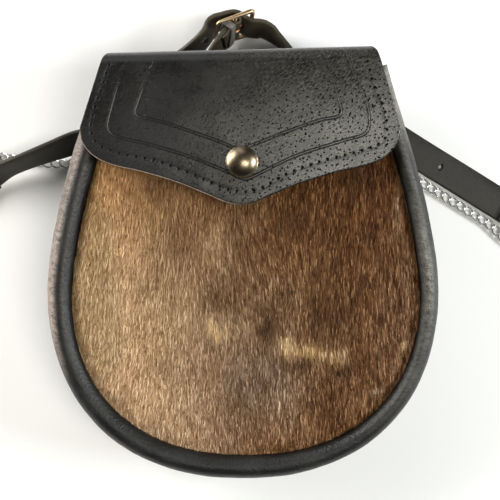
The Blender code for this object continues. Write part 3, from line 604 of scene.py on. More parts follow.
def flap_leather():
    """Firm black leather with hair pores, a slanting grain, tooled creases and needle holes, with painted
    highlights on its grain and creases and painted shade in its hollows.
    """
    made = Finish("flap_leather", Specular_IOR_Level=0.5)
    across, up, _ = made.place().parts()
    upward = up - across * 0.25

    # pores of two sizes, smaller on the left and faint by the fold
    coarse = across.ranged(-0.045, 0.012, 0.6, 1.0)
    scatter = made.noise(0.5, 2.0)
    large = made.cells((0.37, 0.39, 0.0), GRAIN_SLANT, dimensions="2D")
    large = (large - scatter.ranged(0.3, 0.6, 0.125, 0.17) * coarse).ranged(0.012, -0.02)
    small = made.cells((0.47, 0.45, 0.0), 15.0, dimensions="2D")
    small = (small - scatter.ranged(0.65, 0.35, 0.06, 0.12) * coarse).ranged(0.012, -0.02)
    pores = large.at_least(small * 0.7) * upward.ranged(0.082, 0.062, 0.1, 1.0)

    # creases, each a soft ridge between two grooves, and the needle's holes
    outer, inner, from_hole = made.attribute("tooling", "Vector").parts()
    off = abs(outer).at_most(abs(inner))
    groove = abs(off - 0.52).ranged(0.38, 0.06) * made.attribute("pressed")
    hole = from_hole.ranged(0.76, 0.52)
    sunk = pores.at_least((groove * 0.6).at_least(hole))

    grain = made.noise((0.55, 2.4, 1.6), 4.0, 0.62, turn=GRAIN_SLANT)
    height = (grain * 0.44 + made.noise(3.2, 2.0, 0.6) * 0.05) * (1.0 - sunk)
    deep = pores.at_least(hole * 0.6) * 0.5
    made.raised(height - deep.at_least(groove), 0.2)

    wear = made.noise(0.06, 4.0, 0.6)
    base = wear.ranged(0.35, 0.7).between((0.0050, 0.0049, 0.0050), (0.0090, 0.0088, 0.0086))
    low_left = upward.ranged(0.080, 0.055) * across.ranged(0.0, -0.04)
    base = low_left.between(base, (0.0165, 0.0160, 0.0160))
    # painted highlights on the grain, stronger to the right where the light falls
    grain_glints = grain.ranged(0.48, 0.70) * across.ranged(-0.04, 0.05, 0.0, 0.9)
    base = grain_glints.between(base, (0.092, 0.086, 0.068))
    # a painted highlight along each crease's ridge
    ridge_highlight = off.ranged(0.38, 0.10) * across.ranged(-0.045, 0.012, 0.1, 0.8)
    base = ridge_highlight.between(base, (0.030, 0.029, 0.027))
    # a painted highlight on the creases' left ends, where they face the light on the left
    bright = off.ranged(0.30, 0.08) * made.attribute("upright_glint") * 0.5
    base = bright.between(base, (0.22, 0.21, 0.20))
    # the pores, holes and grooves are painted darker: painted shade in the hollows
    made.put("Base Color", (sunk * 0.92).between(base, (0.0025, 0.0022, 0.002)))
    made.put("Metallic", sunk * 0.85)  # with the dark colour above, paints shade into the pores, holes and grooves by keeping them from shining
    rough = (grain + wear).ranged(0.7, 1.35, 0.25, 0.35) - across.ranged(-0.02, -0.06, 0.0, 0.02)
    made.put("Roughness", rough.at_least(sunk * 0.9))
    return made.material


def suede():
    """The flesh side of the leather."""
    made = Finish("suede", Roughness=0.9, Specular_IOR_Level=0.2)
    nap = made.noise(1.6, 5.0, 0.7)
    made.raised(nap, 0.2)
    both = nap * 0.5 + made.noise(0.05) * 0.5
    made.put("Base Color", both.ranged(0.35, 0.65).between((0.055, 0.044, 0.036), (0.12, 0.098, 0.08)))
    return made.material


def cut_edge():
    """A cut edge of the flap: bare and tan on its left, inked on its right."""
    made = Finish("cut_edge", Roughness=0.75, Specular_IOR_Level=0.12)
    fibres = made.noise((0.8, 0.8, 5.0), 4.0, 0.65)
    inked = made.place().parts()[0].ranged(-0.012, 0.010)
    bare = fibres.ranged(0.35, 0.7).between((0.20, 0.15, 0.12), (0.42, 0.34, 0.29))
    ink = fibres.ranged(0.45, 0.8).between((0.005, 0.004, 0.004), (0.020, 0.017, 0.015))
    made.put("Base Color", inked.between(bare, ink))
    made.raised(fibres, 0.15)
    return made.material


def strap_leather(name, dark, light):
    """Strap leather from dark to light, browner where the attribute brown says so."""
    made = Finish(name, Specular_IOR_Level=0.36)
    grain = made.cells(1.5, feature="SMOOTH_F1")
    fine = made.noise(3.0, 4.0, 0.65)
    wear = made.noise(0.09, 4.0, 0.6)
    made.raised(grain * -0.5 + fine * 0.5, 0.16)
    mottled = wear * 0.4 + fine * 0.6
    black = mottled.ranged(0.38, 0.64).between(dark, light)
    brown = mottled.ranged(0.36, 0.64).between((0.034, 0.026, 0.015), (0.080, 0.062, 0.036))
    made.put("Base Color", made.attribute("brown").between(black, brown))
    made.put("Roughness", wear.ranged(0.3, 0.75, 0.40, 0.58))
    return made.material


def hair_finish():
    """Hair whose colour is laid on hair by hair."""
    made = Finish("brown_hair", Roughness=0.55, Specular_IOR_Level=0.08)
    made.put("Base Color", made.attribute("hair_colour", "Color"))
    made.raised(made.noise((5.0, 0.6, 2.0), 2.0), 0.05)
    return made.material


def hide_skin():
    """The skin under the hair, with its short under-hair."""
    made = Finish("hide_skin", Roughness=0.85, Specular_IOR_Level=0.2)
    streaks = made.noise((1.9, 0.22, 1.0), 4.0, 0.7)
    made.raised(streaks, 0.3)
    made.put("Base Color", streaks.ranged(0.35, 0.65).between((0.045, 0.026, 0.014), (0.16, 0.10, 0.055)))
    return made.material


def metal(name, dark, light, rough_low, rough_high, speck):
    """A worn metal whose tarnish goes from dark to light."""
    made = Finish(name, Metallic=1.0)
    scratches = made.noise((speck * 1.5, speck * 14, speck * 6), 3.0, 0.6, turn=33.0)
    both = made.noise(speck, 5.0, 0.65) * 0.75 + scratches * 0.25
    made.put("Base Color", both.ranged(0.36, 0.62).between(dark, light))
    made.put("Roughness", both.ranged(0.3, 0.7, rough_high, rough_low))
    made.raised(both, 0.02)
    return made.material


def waxed_thread():
    """Black waxed thread."""
    made = Finish("waxed_thread", Roughness=0.7, Specular_IOR_Level=0.12)
    strands = made.noise(5.0, 2.0)
    made.raised(strands, 0.08)
    made.put("Base Color", strands.ranged(0.35, 0.65).between((0.003, 0.003, 0.003), (0.010, 0.010, 0.009)))
    return made.material


def pale_floor():
    made = Finish("pale_floor", Roughness=0.9, Specular_IOR_Level=0.1)
    made.put("Base Color", made.noise(0.01, 2.0).between((0.83, 0.83, 0.83), (0.85, 0.85, 0.85)))
    return made.material


# ---------------------------------------------------------------- lines


def clamp(value):
    return min(max(value, 0.0), 1.0)


def bell(value, width):
    """1 at no value, and soon nothing past the width."""
    return math.exp(-((value / width) ** 2))


def distances(points):
    """How far along the line each point lies."""
    found = [0.0]
    for first, second in zip(points, points[1:]):
        found.append(found[-1] + (second - first).length)
    return found


def resample(points, count):
    """This many points, equally spaced along a line of points."""
    lengths = distances(points)
    result = []
    index = 0
    for step in range(count):
        target = lengths[-1] * step / (count - 1)
        while index < len(points) - 2 and lengths[index + 1] < target:
            index += 1
        share = (target - lengths[index]) / (lengths[index + 1] - lengths[index])
        result.append(points[index].lerp(points[index + 1], min(share, 1.0)))
    return result


def smooth_line(rows, parts_each=16):
    """Rows of numbers joined by one smooth curve that passes through each."""
    rows = [Vector(row) for row in rows]
    rows = [2 * rows[0] - rows[1], *rows, 2 * rows[-1] - rows[-2]]
    fine = []
    for before, first, second, after in zip(rows, rows[1:], rows[2:], rows[3:]):
        for part in range(parts_each):
            t = part / parts_each
            bend = 2 * before - 5 * first + 4 * second - after
            turn = 3 * first - before - 3 * second + after
            fine.append(0.5 * (2 * first + (second - before) * t + bend * t * t + turn * t**3))
    return [*fine, rows[-2]]


def heading(points, index):
    """The way that a line of points runs at one of them."""
    return (points[min(index + 1, len(points) - 1)] - points[max(index - 1, 0)]).normalized()


def level_side(along):
    """The level direction to the left of a way."""
    return Vector((-along.y, along.x, 0.0)).normalized()


def route_frames(points):
    """(length so far, middle, along, across, out) at each point of a route with rolls."""
    places = [point.xyz for point in points]
    frames = []
    for index, (length, middle) in enumerate(zip(distances(places), places)):
        along = heading(places, index)
        side = level_side(along)
        roll = math.radians(points[index].w)
        across = side * math.cos(roll) + along.cross(side) * math.sin(roll)
        frames.append((length, middle, along, across, along.cross(across)))
    return frames


def frame_at(frames, length):
    return min(frames, key=lambda frame: abs(frame[0] - length))


def body_outline():
    """The outline from the right end of the mouth, round the bottom, to the left end."""
    right = []
    for step in range(41):
        y = BODY_TOP * (1 - step / 40)
        share = 1 - (y / BODY_RISE) ** UPPER_POWER
        right.append(Vector((BODY_HALF_WIDTH * share ** (1 / UPPER_POWER), y)))
    bottom = []
    for step in range(1, 160):
        angle = math.pi * step / 160
        reach = abs(math.cos(angle)) ** (2 / LOWER_POWER)
        side = BODY_HALF_WIDTH * math.copysign(reach, math.cos(angle))
        bottom.append(Vector((side, -BODY_DROP * math.sin(angle) ** (2 / LOWER_POWER))))
    left = [Vector((-point.x, point.y)) for point in reversed(right)]
    return right + bottom + left


def inset_outline(inset, lip, count):
    """The outline moved in by this much, and towards the front seam by the lip's share."""
    points = resample(body_outline(), count)
    moved = []
    for index, point in enumerate(points):
        along = heading(points, index)
        inward = Vector((along.y, -along.x))
        downward = max(inward.y, 0.0) ** 2
        reach = inset + LIP_DROP * lip * downward
        moved.append(point + inward * reach + Vector((LIP_SHIFT * lip, 0.0)))
    return moved


# ---------------------------------------------------------------- meshes


POUCH = Matrix.Translation(POUCH_PLACE) @ Matrix.Rotation(POUCH_TILT, 4, "X")
TABLE = Matrix.Translation(TABLE_SHIFT)


def lay_grid(bm, columns, rows, place):
    """A grid of faces whose corner in each column and row goes where place says."""
    layer = bm.loops.layers.uv.verify()
    made = bmesh.ops.create_grid(bm, x_segments=columns, y_segments=rows, size=0.5)["verts"]
    for vert in made:
        column = round((vert.co.x + 0.5) * columns)
        row = round((vert.co.y + 0.5) * rows)
        for loop in vert.link_loops:
            loop[layer].uv = (column / columns, row / rows)
        vert.co = place(column, row)
    return made


def close_seams(bm):
    bmesh.ops.remove_doubles(bm, verts=bm.verts, dist=0.004)
    bmesh.ops.dissolve_degenerate(bm, edges=bm.edges, dist=0.002)
    bmesh.ops.recalc_face_normals(bm, faces=bm.faces)


def face_up(bm):
    """Turns an open surface so that its highest part faces up."""
    bm.normal_update()
    highest = max(bm.faces, key=lambda face: face.calc_center_median().z)
    if highest.normal.z < 0:
        bmesh.ops.reverse_faces(bm, faces=bm.faces)
        bm.normal_update()


def add_object(name, mesh):
    made = bpy.data.objects.new(name, mesh)
    bpy.context.scene.collection.objects.link(made)
    return made


def mesh_from(name, bm):
    """A mesh with what bm holds. It frees bm."""
    mesh = bpy.data.meshes.new(name)
    bm.to_mesh(mesh)
    bm.free()
    return mesh


def dress(piece, slot, *nodes):
    """Attaches a piece of the look to the object's root body, and hides the solids it stands in for."""
    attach(piece, "root")
    if nodes:
        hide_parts(*nodes)


def add_piece(name, bm, place, slot, materials, *nodes):
    """A finished piece of the object, with its place in its mesh."""
    bmesh.ops.transform(bm, matrix=Matrix.Scale(MM, 4) @ place, verts=bm.verts)
    mesh = mesh_from(name, bm)
    for material in materials:
        mesh.materials.append(material)
    mesh.shade_smooth()
    piece = add_object(name, mesh)
    dress(piece, slot, *nodes)
    return piece


def thicken(piece, thickness, offset):
    """A wall whose inner side and rim take the piece's second and third materials."""
    wall = piece.modifiers.new("wall", "SOLIDIFY")
    wall.thickness = thickness * MM
    wall.offset = offset
    wall.use_even_offset = True
    wall.material_offset = 1
    wall.material_offset_rim = 2


def apply_modifiers(piece):
    graph = bpy.context.evaluated_depsgraph_get()
    mesh = bpy.data.meshes.new_from_object(piece.evaluated_get(graph))
    piece.modifiers.clear()
    old = piece.data
    piece.data = mesh
    bpy.data.meshes.remove(old)


def sweep(bm, points, radii, sides, cyclic):
    """A round wire along points."""
    count = len(points)
    lefts = []
    side = None
    for index in range(count):
        if cyclic:
            along = (points[(index + 1) % count] - points[index - 1]).normalized()
        else:
            along = heading(points, index)
        if side is None:
            side = along.orthogonal()
        side = (side - along * side.dot(along)).normalized()
        lefts.append((side, along.cross(side)))

    def place(column, row):
        angle = math.tau * column / sides
        left, up = lefts[row % count]
        spoke = left * math.cos(angle) + up * math.sin(angle)
        return points[row % count] + spoke * radii[row % count]

    lay_grid(bm, sides, count if cyclic else count - 1, place)


def rod(bm, start, end, radius, sides):
    axis = end - start
    place = axis.to_track_quat("Z", "Y").to_matrix().to_4x4()
    place.translation = (start + end) / 2
    bmesh.ops.create_cone(
        bm, cap_ends=True, segments=sides, radius1=radius, radius2=radius, depth=axis.length, matrix=place
    )


def cut(piece, bm, place):
    """Cuts the solid in bm out of the piece."""
    bmesh.ops.transform(bm, matrix=Matrix.Scale(MM, 4) @ place, verts=bm.verts)
    mesh = mesh_from("cutter", bm)
    cutter = add_object("cutter", mesh)
    boolean = piece.modifiers.new("cut", "BOOLEAN")
    boolean.operation = "DIFFERENCE"
    boolean.solver = "EXACT"
    boolean.object = cutter
    apply_modifiers(piece)
    bpy.data.objects.remove(cutter)
    bpy.data.meshes.remove(mesh)


# ---------------------------------------------------------------- the pouch


def gusset_relief(point):
    """Soft hollows and small folds across the roll, in millimetres."""
    swell = noise.noise(point / 19.0) * 0.32 + noise.noise(point / 7.0 + Vector((9, 0, 0))) * 0.10
    folds = noise.noise(Vector((point.x / 9.0, point.y / 2.4, point.z / 6.0))) * 0.06
    upper_left = bell(point.x + 86, 9) * bell(point.y - 48, 20)
    ripple = noise.noise(Vector((point.x / 5.0, point.y / 1.5, 0.0))) * 0.22 * upper_left
    return swell + folds + ripple - DIMPLE_DEPTH * bell((point - DIMPLE).length, DIMPLE_RADIUS)


def gusset_sheen_and_wear(point, normal):
    """How pale the gusset is painted. On the left, the flank is part wear and part painted light from the
    left, with a thin painted highlight along the roll's inner side. On the right there is a painted
    highlight along the roll, and a painted reflection on the wall by the mouth.
    """
    if point.x > 0:
        # a painted highlight along the right roll's crest, where it faces the light on the right
        crest = max(0.28 * clamp((point.y + 70.0) / 30.0), bell(point.y - 10.0, 36.0))
        crest *= min(1.1 - abs(normal.x), 1.0)
        # and a painted reflection of the light on the wall by the mouth
        return max(1.2 * clamp((point.y - 64.0) / 24.0), crest)
    # on the left: the flank that faces the light on the left, part wear and part painted light
    narrow = clamp((42.0 - point.y) / 60.0)
    flank = clamp(-2.0 * normal.x - 0.30 - 0.15 * narrow)
    flank *= min(max((point.z - 12.0) / 16.0, 0.3), 1.0)
    # a thin painted highlight along the left roll's inner side
    flank = max(flank * (1 + 0.9 * narrow), 0.3 * bell(normal.x - 0.35, 0.14))
    return 0.8 * flank * clamp((point.y + 44.0) / 34.0)


def make_gusset():
    stations = smooth_line(GUSSET_SECTION, 5)
    edges = [inset_outline(inset, lip, GUSSET_COLUMNS + 1) for inset, _, lip in stations]

    def place(column, row):
        point = Vector((*edges[row][column], stations[row].y))
        if point.x > 0:
            point.x += MOUTH_FLARE * max((point.y - MOUTH_FLARE_START) / 30.0, 0.0) ** 1.2
            point.y += MOUTH_RISE * max((point.y - 95.0) / 10.5, 0.0) ** 2
        return point

    bm = bmesh.new()
    sheen_and_wear = bm.verts.layers.float.new("sheen_and_wear")
    lay_grid(bm, GUSSET_COLUMNS, len(stations) - 1, place)
    face_up(bm)
    # pale paint on the roll: some wear, and mostly painted highlights and a painted reflection
    for vert in bm.verts:
        vert[sheen_and_wear] = gusset_sheen_and_wear(vert.co, vert.normal)
    for vert, move in [(vert, vert.normal * gusset_relief(vert.co)) for vert in bm.verts]:
        vert.co += move
    materials = [finish["pebbled"], finish["suede"], finish["strap"]]
    gusset = add_piece("gusset_leather", bm, POUCH, "body_leather", materials, "gusset")
    thicken(gusset, GUSSET_THICK, -1.0)


def make_back():
    outline = inset_outline(BACK_INSET, 0.0, BACK_COLUMNS + 1)
    bm = bmesh.new()
    verts = [bm.verts.new((point.x, min(point.y, BACK_TOP), 0.0)) for point in outline]
    base = bm.faces.new(verts)
    wall = bmesh.ops.extrude_face_region(bm, geom=[base])["geom"]
    lifted = [item for item in wall if isinstance(item, bmesh.types.BMVert)]
    bmesh.ops.translate(bm, vec=(0.0, 0.0, BACK_THICK), verts=lifted)
    bmesh.ops.remove_doubles(bm, verts=bm.verts, dist=0.02)
    bmesh.ops.recalc_face_normals(bm, faces=bm.faces)
    rims = [edge for edge in bm.edges if abs(edge.verts[0].co.z - edge.verts[1].co.z) < 0.1]
    bmesh.ops.bevel(
        bm, geom=rims, offset=0.5, segments=2, profile=0.5, affect="EDGES", material=-1, clamp_overlap=True
    )
    add_piece("back_leather", bm, POUCH, "body_leather", [finish["pebbled"]], "back_panel")
    outline = inset_outline(BACK_SEAM_INSET, 0.0, 400)
    seam = [point.to_3d() for point in outline if point.y < BACK_TOP - 3]
    stitches = bmesh.new()
    sew(stitches, seam, lambda x, y: 0.02, -1.0)
    add_piece("back_stitches", stitches, POUCH, "body_leather", [finish["thread"]])


def crown(share, y):
    """How far the front stands out, this share of the way from its spine to its edge."""
    towards_mouth = clamp((y - FRONT_FADE) / (FRONT_TOP - FRONT_FADE))
    return FRONT_CROWN * (1 - share**2) * (1 - FRONT_FADE_SHARE * towards_mouth**2)


def make_hide():
    stations = [Vector(row) for row in smooth_line(FRONT_SECTION, 4)]
    edges = []
    for inset, _ in stations:
        edge = [point for point in inset_outline(inset, 1.0, 481) if point.y <= FRONT_TOP]
        edges.append(resample(edge, FRONT_COLUMNS + 1))
    shares = [1 - step / FRONT_RINGS for step in range(1, FRONT_RINGS + 1)]

    def place(column, row):
        if row < len(stations):
            return Vector((*edges[row][column], stations[row].y))
        edge = edges[-1][column]
        share = shares[row - len(stations)]
        spine_y = edge.y if edge.y > 0 else edge.y * FRONT_SPINE
        x = LIP_SHIFT + (edge.x - LIP_SHIFT) * share
        y = spine_y + (edge.y - spine_y) * share
        return Vector((x, y, FRONT_SECTION[-1][1] + crown(share, y)))

    bm = bmesh.new()
    lay_grid(bm, FRONT_COLUMNS, len(stations) + len(shares) - 1, place)
    bmesh.ops.remove_doubles(bm, verts=bm.verts, dist=0.01)
    face_up(bm)
    for vert in bm.verts:
        vert.co.z += noise.noise(vert.co / 14.0) * 0.35
    materials = [finish["hide_skin"], finish["suede"], finish["suede"]]
    hide = add_piece("hide_front", bm, POUCH, "hide", materials, "front_panel")
    thicken(hide, FRONT_THICK, 0.0)
    return hide


# ---------------------------------------------------------------- the flap


def flap_edge(count):
    """The flap's free edge from its left end to its right end."""
    whole = [(-x, y) for x, y in reversed(FLAP_EDGE[1:])] + FLAP_EDGE
    return resample(smooth_line(whole, 12), count)


def flap_lift(share):
    """The share of its crown that the flap has, this share of the way from the fold to its edge."""
    rising = min(share / CROWN_REACH, 1.0)
    return FOLD_CROWN + (1 - FOLD_CROWN) * (1 - (1 - rising) ** 2)


def flap_stations():
    """(y, z, share of the crown, share of the way to the edge, from the edge) for each row."""
    tail_z = -GAP - FLAP_THICK / 2
    rear_y = FLAP_WALL - FLAP_REAR_RADIUS
    rows = [(FLAP_TAIL + (rear_y - FLAP_TAIL) * step / 9, tail_z, 0.0, 0.0, 0.0) for step in range(9)]
    for step in range(9):
        angle = math.radians(90 * step / 8)
        y = rear_y + FLAP_REAR_RADIUS * math.sin(angle)
        z = tail_z + FLAP_REAR_RADIUS * (1 - math.cos(angle))
        rows.append((y, z, 0.0, 0.0, 0.0))
    low, high = rows[-1][1], FLAP_FRONT_Z - FLAP_FRONT_RADIUS
    rows += [(FLAP_WALL, low + (high - low) * step / 14, 0.0, 0.0, 0.0) for step in range(1, 14)]
    for step in range(11):
        angle = math.radians(90 * step / 10)
        y = FLAP_WALL - FLAP_FRONT_RADIUS * (1 - math.cos(angle))
        z = high + FLAP_FRONT_RADIUS * math.sin(angle)
        rows.append((y, z, FOLD_CROWN * step / 10, 0.0, 0.0))
    for step in range(1, FACE_ROWS + 1):
        share = step / FACE_ROWS
        rows.append((y, FLAP_FRONT_Z, flap_lift(share), share, RIM_ROWS[0]))
    rows += [(y, FLAP_FRONT_Z, 1.0, 1.0, from_edge) for from_edge in RIM_ROWS[1:]]
    return rows


def flap_point(edge, row):
    """A point of the flap's middle surface."""
    row_y, z, lift, share, from_edge = row
    forward = FLAP_WALL - row_y if z > FLAP_FRONT_Z - FLAP_FRONT_RADIUS else 0.0
    rounded = SHOULDER_DROP * max(1 - forward / SHOULDER_REACH, 0.0) ** 2
    top_x = edge.x * (FLAP_TOP_HALF + FLAP_FLARE * forward - rounded) / FLAP_WIDEST
    share *= 1 - from_edge / (edge - Vector((top_x, row_y))).length
    across = top_x + (edge.x - top_x) * share
    y = row_y + (edge.y - row_y) * share + FLAP_SLOPE * across * (1 - share)
    bulge = FLAP_CROWN * lift * (1 - (across / FLAP_WIDEST) ** 2)
    return Vector((across + FLAP_SHIFT, y, z + bulge))


def flattened(point):
    return Vector((point.x, point.y, 0.0))


def tree_of(points):
    """For finding the nearest of these points, with no regard to height."""
    tree = KDTree(len(points))
    for index, point in enumerate(points):
        tree.insert(flattened(point), index)
    tree.balance()
    return tree


def away_from(tree, point):
    return tree.find(flattened(point))[2]


def dense(table, step):
    """A table's smooth line, as points this far apart."""
    line = smooth_line(table, 12)
    return resample(line, round(distances(line)[-1] / step) + 1)


def beside(line, tree, point):
    """How far to one side of a crease a point lies, and how far along the crease it is."""
    _, index, away = tree.find(flattened(point))
    along = heading(line, index)
    reach = Vector((point.x, point.y)) - line[index]
    side = along.x * reach.y - along.y * reach.x
    return (side if away < 3.0 else math.copysign(away, side)), index * CREASE_STEP


def stitch_places(line):
    """The needle's holes along a line."""
    return resample(line, round(distances(line)[-1] / STITCH_PITCH) + 1)


def make_flap():
    edge = flap_edge(FLAP_COLUMNS + 1)
    rows = flap_stations()
    bm = bmesh.new()
    lay_grid(bm, FLAP_COLUMNS, len(rows) - 1, lambda column, row: flap_point(edge[column], rows[row]))
    face_up(bm)
    materials = [finish["flap"], finish["suede"], finish["cut_edge"]]
    flap = add_piece("flap_cover", bm, Matrix.Identity(4), "flap_leather", materials, "flap")
    thicken(flap, FLAP_THICK, 0.0)
    apply_modifiers(flap)
    tool_flap(flap)
    return flap


def bare_rim(bm, rim):
    """The last strip of the flap's face slopes to its edge and shows the bare leather."""
    for face in bm.faces:
        middle = face.calc_center_median()
        if face.material_index or face.normal.z < FACE_UP or middle.y > FLAP_TOP - 9:
            continue
        if away_from(rim, middle) < RIM_ROWS[-2] * 0.6:
            face.material_index = 2


def refine_face(bm, creases, needle):
    """Makes the flap's face finer and finer towards the creases and the needle's holes."""
    for reach in FINER_REACHES:
        chosen = set()
        for face in bm.faces:
            if face.material_index or face.normal.z < FACE_UP:
                continue
            middle = face.calc_center_median()
            if away_from(creases, middle) < reach or away_from(needle, middle) < reach * 0.75:
                chosen.update(face.edges)
        bmesh.ops.subdivide_edges(bm, edges=list(chosen), cuts=1, use_grid_fill=True)
        bm.normal_update()


def tool_flap(flap):
    """Presses the creases and the needle's holes into the flap's face, and softens its edge."""
    bm = bmesh.new()
    bm.from_mesh(flap.data)
    bmesh.ops.scale(bm, vec=(1 / MM,) * 3, verts=bm.verts)
    lines = [dense(table, CREASE_STEP) for table in (OUTER_CREASE, INNER_CREASE)]
    trees = [tree_of(line) for line in lines]
    creases = tree_of(lines[0] + lines[1])
    thread = dense(FLAP_SEAM, SEAM_STEP)
    seam = tree_of(thread)
    needle = tree_of(stitch_places(thread))
    rim = tree_of([point + Vector((FLAP_SHIFT, 0.0)) for point in flap_edge(900)])
    refine_face(bm, creases, needle)
    bare_rim(bm, rim)
    tooling = bm.verts.layers.float_vector.new("tooling")
    pressed = bm.verts.layers.float.new("pressed")
    upright_glint = bm.verts.layers.float.new("upright_glint")
    moves = []
    for vert in bm.verts:
        if vert.normal.z < FACE_UP or vert.co.z < FLAP_FRONT_Z - 4:
            continue
        from_hole = away_from(needle, vert.co)
        down = CREASE_DEPTH * bell(away_from(creases, vert.co), CREASE_WIDTH)
        down += HOLE_DEPTH * bell(from_hole, HOLE_WIDTH)
        down += SEAM_DEPTH * bell(away_from(seam, vert.co), SEAM_WIDTH)
        down += EDGE_DROP * max(1 - away_from(rim, vert.co) / EDGE_WIDTH, 0.0) ** 2
        sides = [beside(line, tree, vert.co) for line, tree in zip(lines, trees)]
        nearer = 0 if abs(sides[0][0]) < abs(sides[1][0]) else 1
        along, upright = sides[nearer][1], UPRIGHT_LENGTHS[nearer]
        vert[tooling] = (sides[0][0], sides[1][0], from_hole)
        fading = clamp((vert.co.y - PRESS_FADE_START) / PRESS_FADE) if vert.co.x > 0 else 0.0
        vert[pressed] = (0.1 + 0.9 * clamp((along - upright) / 6.0)) * (1 - 0.6 * fading)
        # how much of the painted highlight each crease's left end gets
        vert[upright_glint] = clamp(along / (upright * 0.3) - 1.0) * clamp((upright + 4.0 - along) / 5.0)
        ripple = noise.noise(vert.co / 24.0) * 0.35 + noise.noise(vert.co / 9.0) * 0.08
        moves.append((vert, vert.normal * -down + Vector((0.0, 0.0, ripple))))
    for vert, move in moves:
        vert.co += move
    bmesh.ops.transform(bm, matrix=Matrix.Scale(MM, 4) @ POUCH, verts=bm.verts)
    bm.to_mesh(flap.data)
    bm.free()
    flap.data.shade_smooth()


def flap_height(x, y):
    """About how high the flap's face is, in the pouch's own axes."""
    across = (x - FLAP_SHIFT) / FLAP_WIDEST
    share = clamp((FLAP_WALL - FLAP_FRONT_RADIUS - y) / FACE_LENGTH)
    return FLAP_FRONT_Z + FLAP_CROWN * flap_lift(share) * (1 - across**2) + FLAP_THICK / 2


def sew(bm, line, height, side):
    """Stitches along a line: each is a short thread that dips into the holes at its ends."""
    holes = stitch_places(line)
    for first, second in zip(holes, holes[1:]):
        points = []
        for step in range(len(THREAD_RADII)):
            share = step / (len(THREAD_RADII) - 1)
            spot = first.lerp(second, STITCH_START + STITCH_SPAN * share)
            rise = STITCH_RISE * math.sin(math.pi * share) ** 0.5 - STITCH_DIP
            points.append(Vector((spot.x, spot.y, height(spot.x, spot.y) + side * rise)))
        sweep(bm, points, THREAD_RADII, 6, cyclic=False)
    close_seams(bm)


def height_finder(piece, start_z, missing):
    """A function that gives a piece's height at x and y, in the pouch's own axes."""
    tree = BVHTree.FromObject(piece, bpy.context.evaluated_depsgraph_get())
    back = POUCH.inverted()
    down = POUCH.to_3x3() @ Vector((0.0, 0.0, -1.0))

    def height(x, y):
        hit = tree.ray_cast(POUCH @ Vector((x, y, start_z)) * MM, down)[0]
        return missing if hit is None else (back @ (hit / MM)).z

    return height


def make_flap_stitches(flap):
    found = height_finder(flap, 90.0, 0.0)
    bm = bmesh.new()
    # a stitch follows the face without the dents of its holes
    sew(bm, dense(FLAP_SEAM, SEAM_STEP), lambda x, y: max(found(x, y), flap_height(x, y) - 0.4), 1.0)
    add_piece("flap_stitches", bm, POUCH, "flap_leather", [finish["thread"]])


def spun(bm, items, steps):
    """Turns a profile once round the z axis."""
    middle, axis = (0.0, 0.0, 0.0), (0.0, 0.0, 1.0)
    bmesh.ops.spin(bm, geom=items, cent=middle, axis=axis, angle=math.tau, steps=steps, use_merge=True)
    close_seams(bm)


def make_stud():
    """The press stud's cap, turned from its profile. Its hidden halves keep their plain solid."""
    across = (CAP_X - FLAP_SHIFT) / FLAP_WIDEST
    seat = FLAP_FRONT_Z + FLAP_CROWN * (1 - across**2) + FLAP_THICK / 2 + GAP
    bm = bmesh.new()
    verts = [bm.verts.new((radius, 0.0, z)) for radius, z in CAP_PROFILE]
    edges = [bm.edges.new(pair) for pair in zip(verts, verts[1:])]
    spun(bm, verts + edges, 72)
    place = POUCH @ Matrix.Translation((CAP_X, CAP_Y, seat))
    cap = add_piece("stud_cap", bm, place, "antique_brass", [finish["old_brass"]], "snap_cap")
    cap.data.set_sharp_from_angle(angle=math.radians(50))


# ---------------------------------------------------------------- hair


def lattice(rng, x, y, cell_x, cell_y):
    """Smooth noise from 0 to 1 with cells of this size."""
    grid = rng.random((int(260 / cell_x) + 3, int(260 / cell_y) + 3))
    u = (x + 130) / cell_x
    v = (y + 130) / cell_y
    i, j = np.floor(u).astype(int), np.floor(v).astype(int)
    s, t = u - i, v - j
    s, t = s * s * (3 - 2 * s), t * t * (3 - 2 * t)
    lower = grid[i, j] * (1 - s) + grid[i + 1, j] * s
    upper = grid[i, j + 1] * (1 - s) + grid[i + 1, j + 1] * s
    return lower * (1 - t) + upper * t


def hair_limits(inset):
    """The bottom edge's y for each x, and the right and left edges' x for each y."""
    outline = np.array([tuple(point) for point in inset_outline(inset, 1.0, 400)])

    def ordered(chosen, column):
        edge = outline[chosen]
        edge = edge[np.argsort(edge[:, column])]
        return edge[:, column], edge[:, 1 - column]

    x, y = outline.T
    return ordered(y <= 2.0, 0), ordered(x > LIP_SHIFT, 1), ordered(x < LIP_SHIFT, 1)


def hair_roots(rng):
    """Where the hairs grow: everywhere on the hide that the flap leaves open, and a little more."""
    x, y = np.meshgrid(np.arange(-86, 88, HAIR_SPACING), np.arange(-84, 84, HAIR_SPACING))
    x = x.ravel() + rng.uniform(-0.5, 0.5, x.size) * HAIR_SPACING
    y = y.ravel() + rng.uniform(-0.5, 0.5, y.size) * HAIR_SPACING
    bottom, right, left = hair_limits(ROOT_INSET)
    edge = np.array([tuple(point) for point in flap_edge(200)])
    ceiling = np.interp(x, edge[:, 0] + FLAP_SHIFT, edge[:, 1] + UNDER_FLAP)
    chosen = (x < np.interp(y, *right)) & (x > np.interp(y, *left))
    chosen &= (y > np.interp(x, *bottom)) & (y < ceiling)
    return x[chosen], y[chosen]


def banded(table, places):
    """Red, green and blue for each place, read from a table."""
    stations, *bands = np.array(table).T
    return np.stack([np.interp(places, stations, band) for band in bands], axis=1)


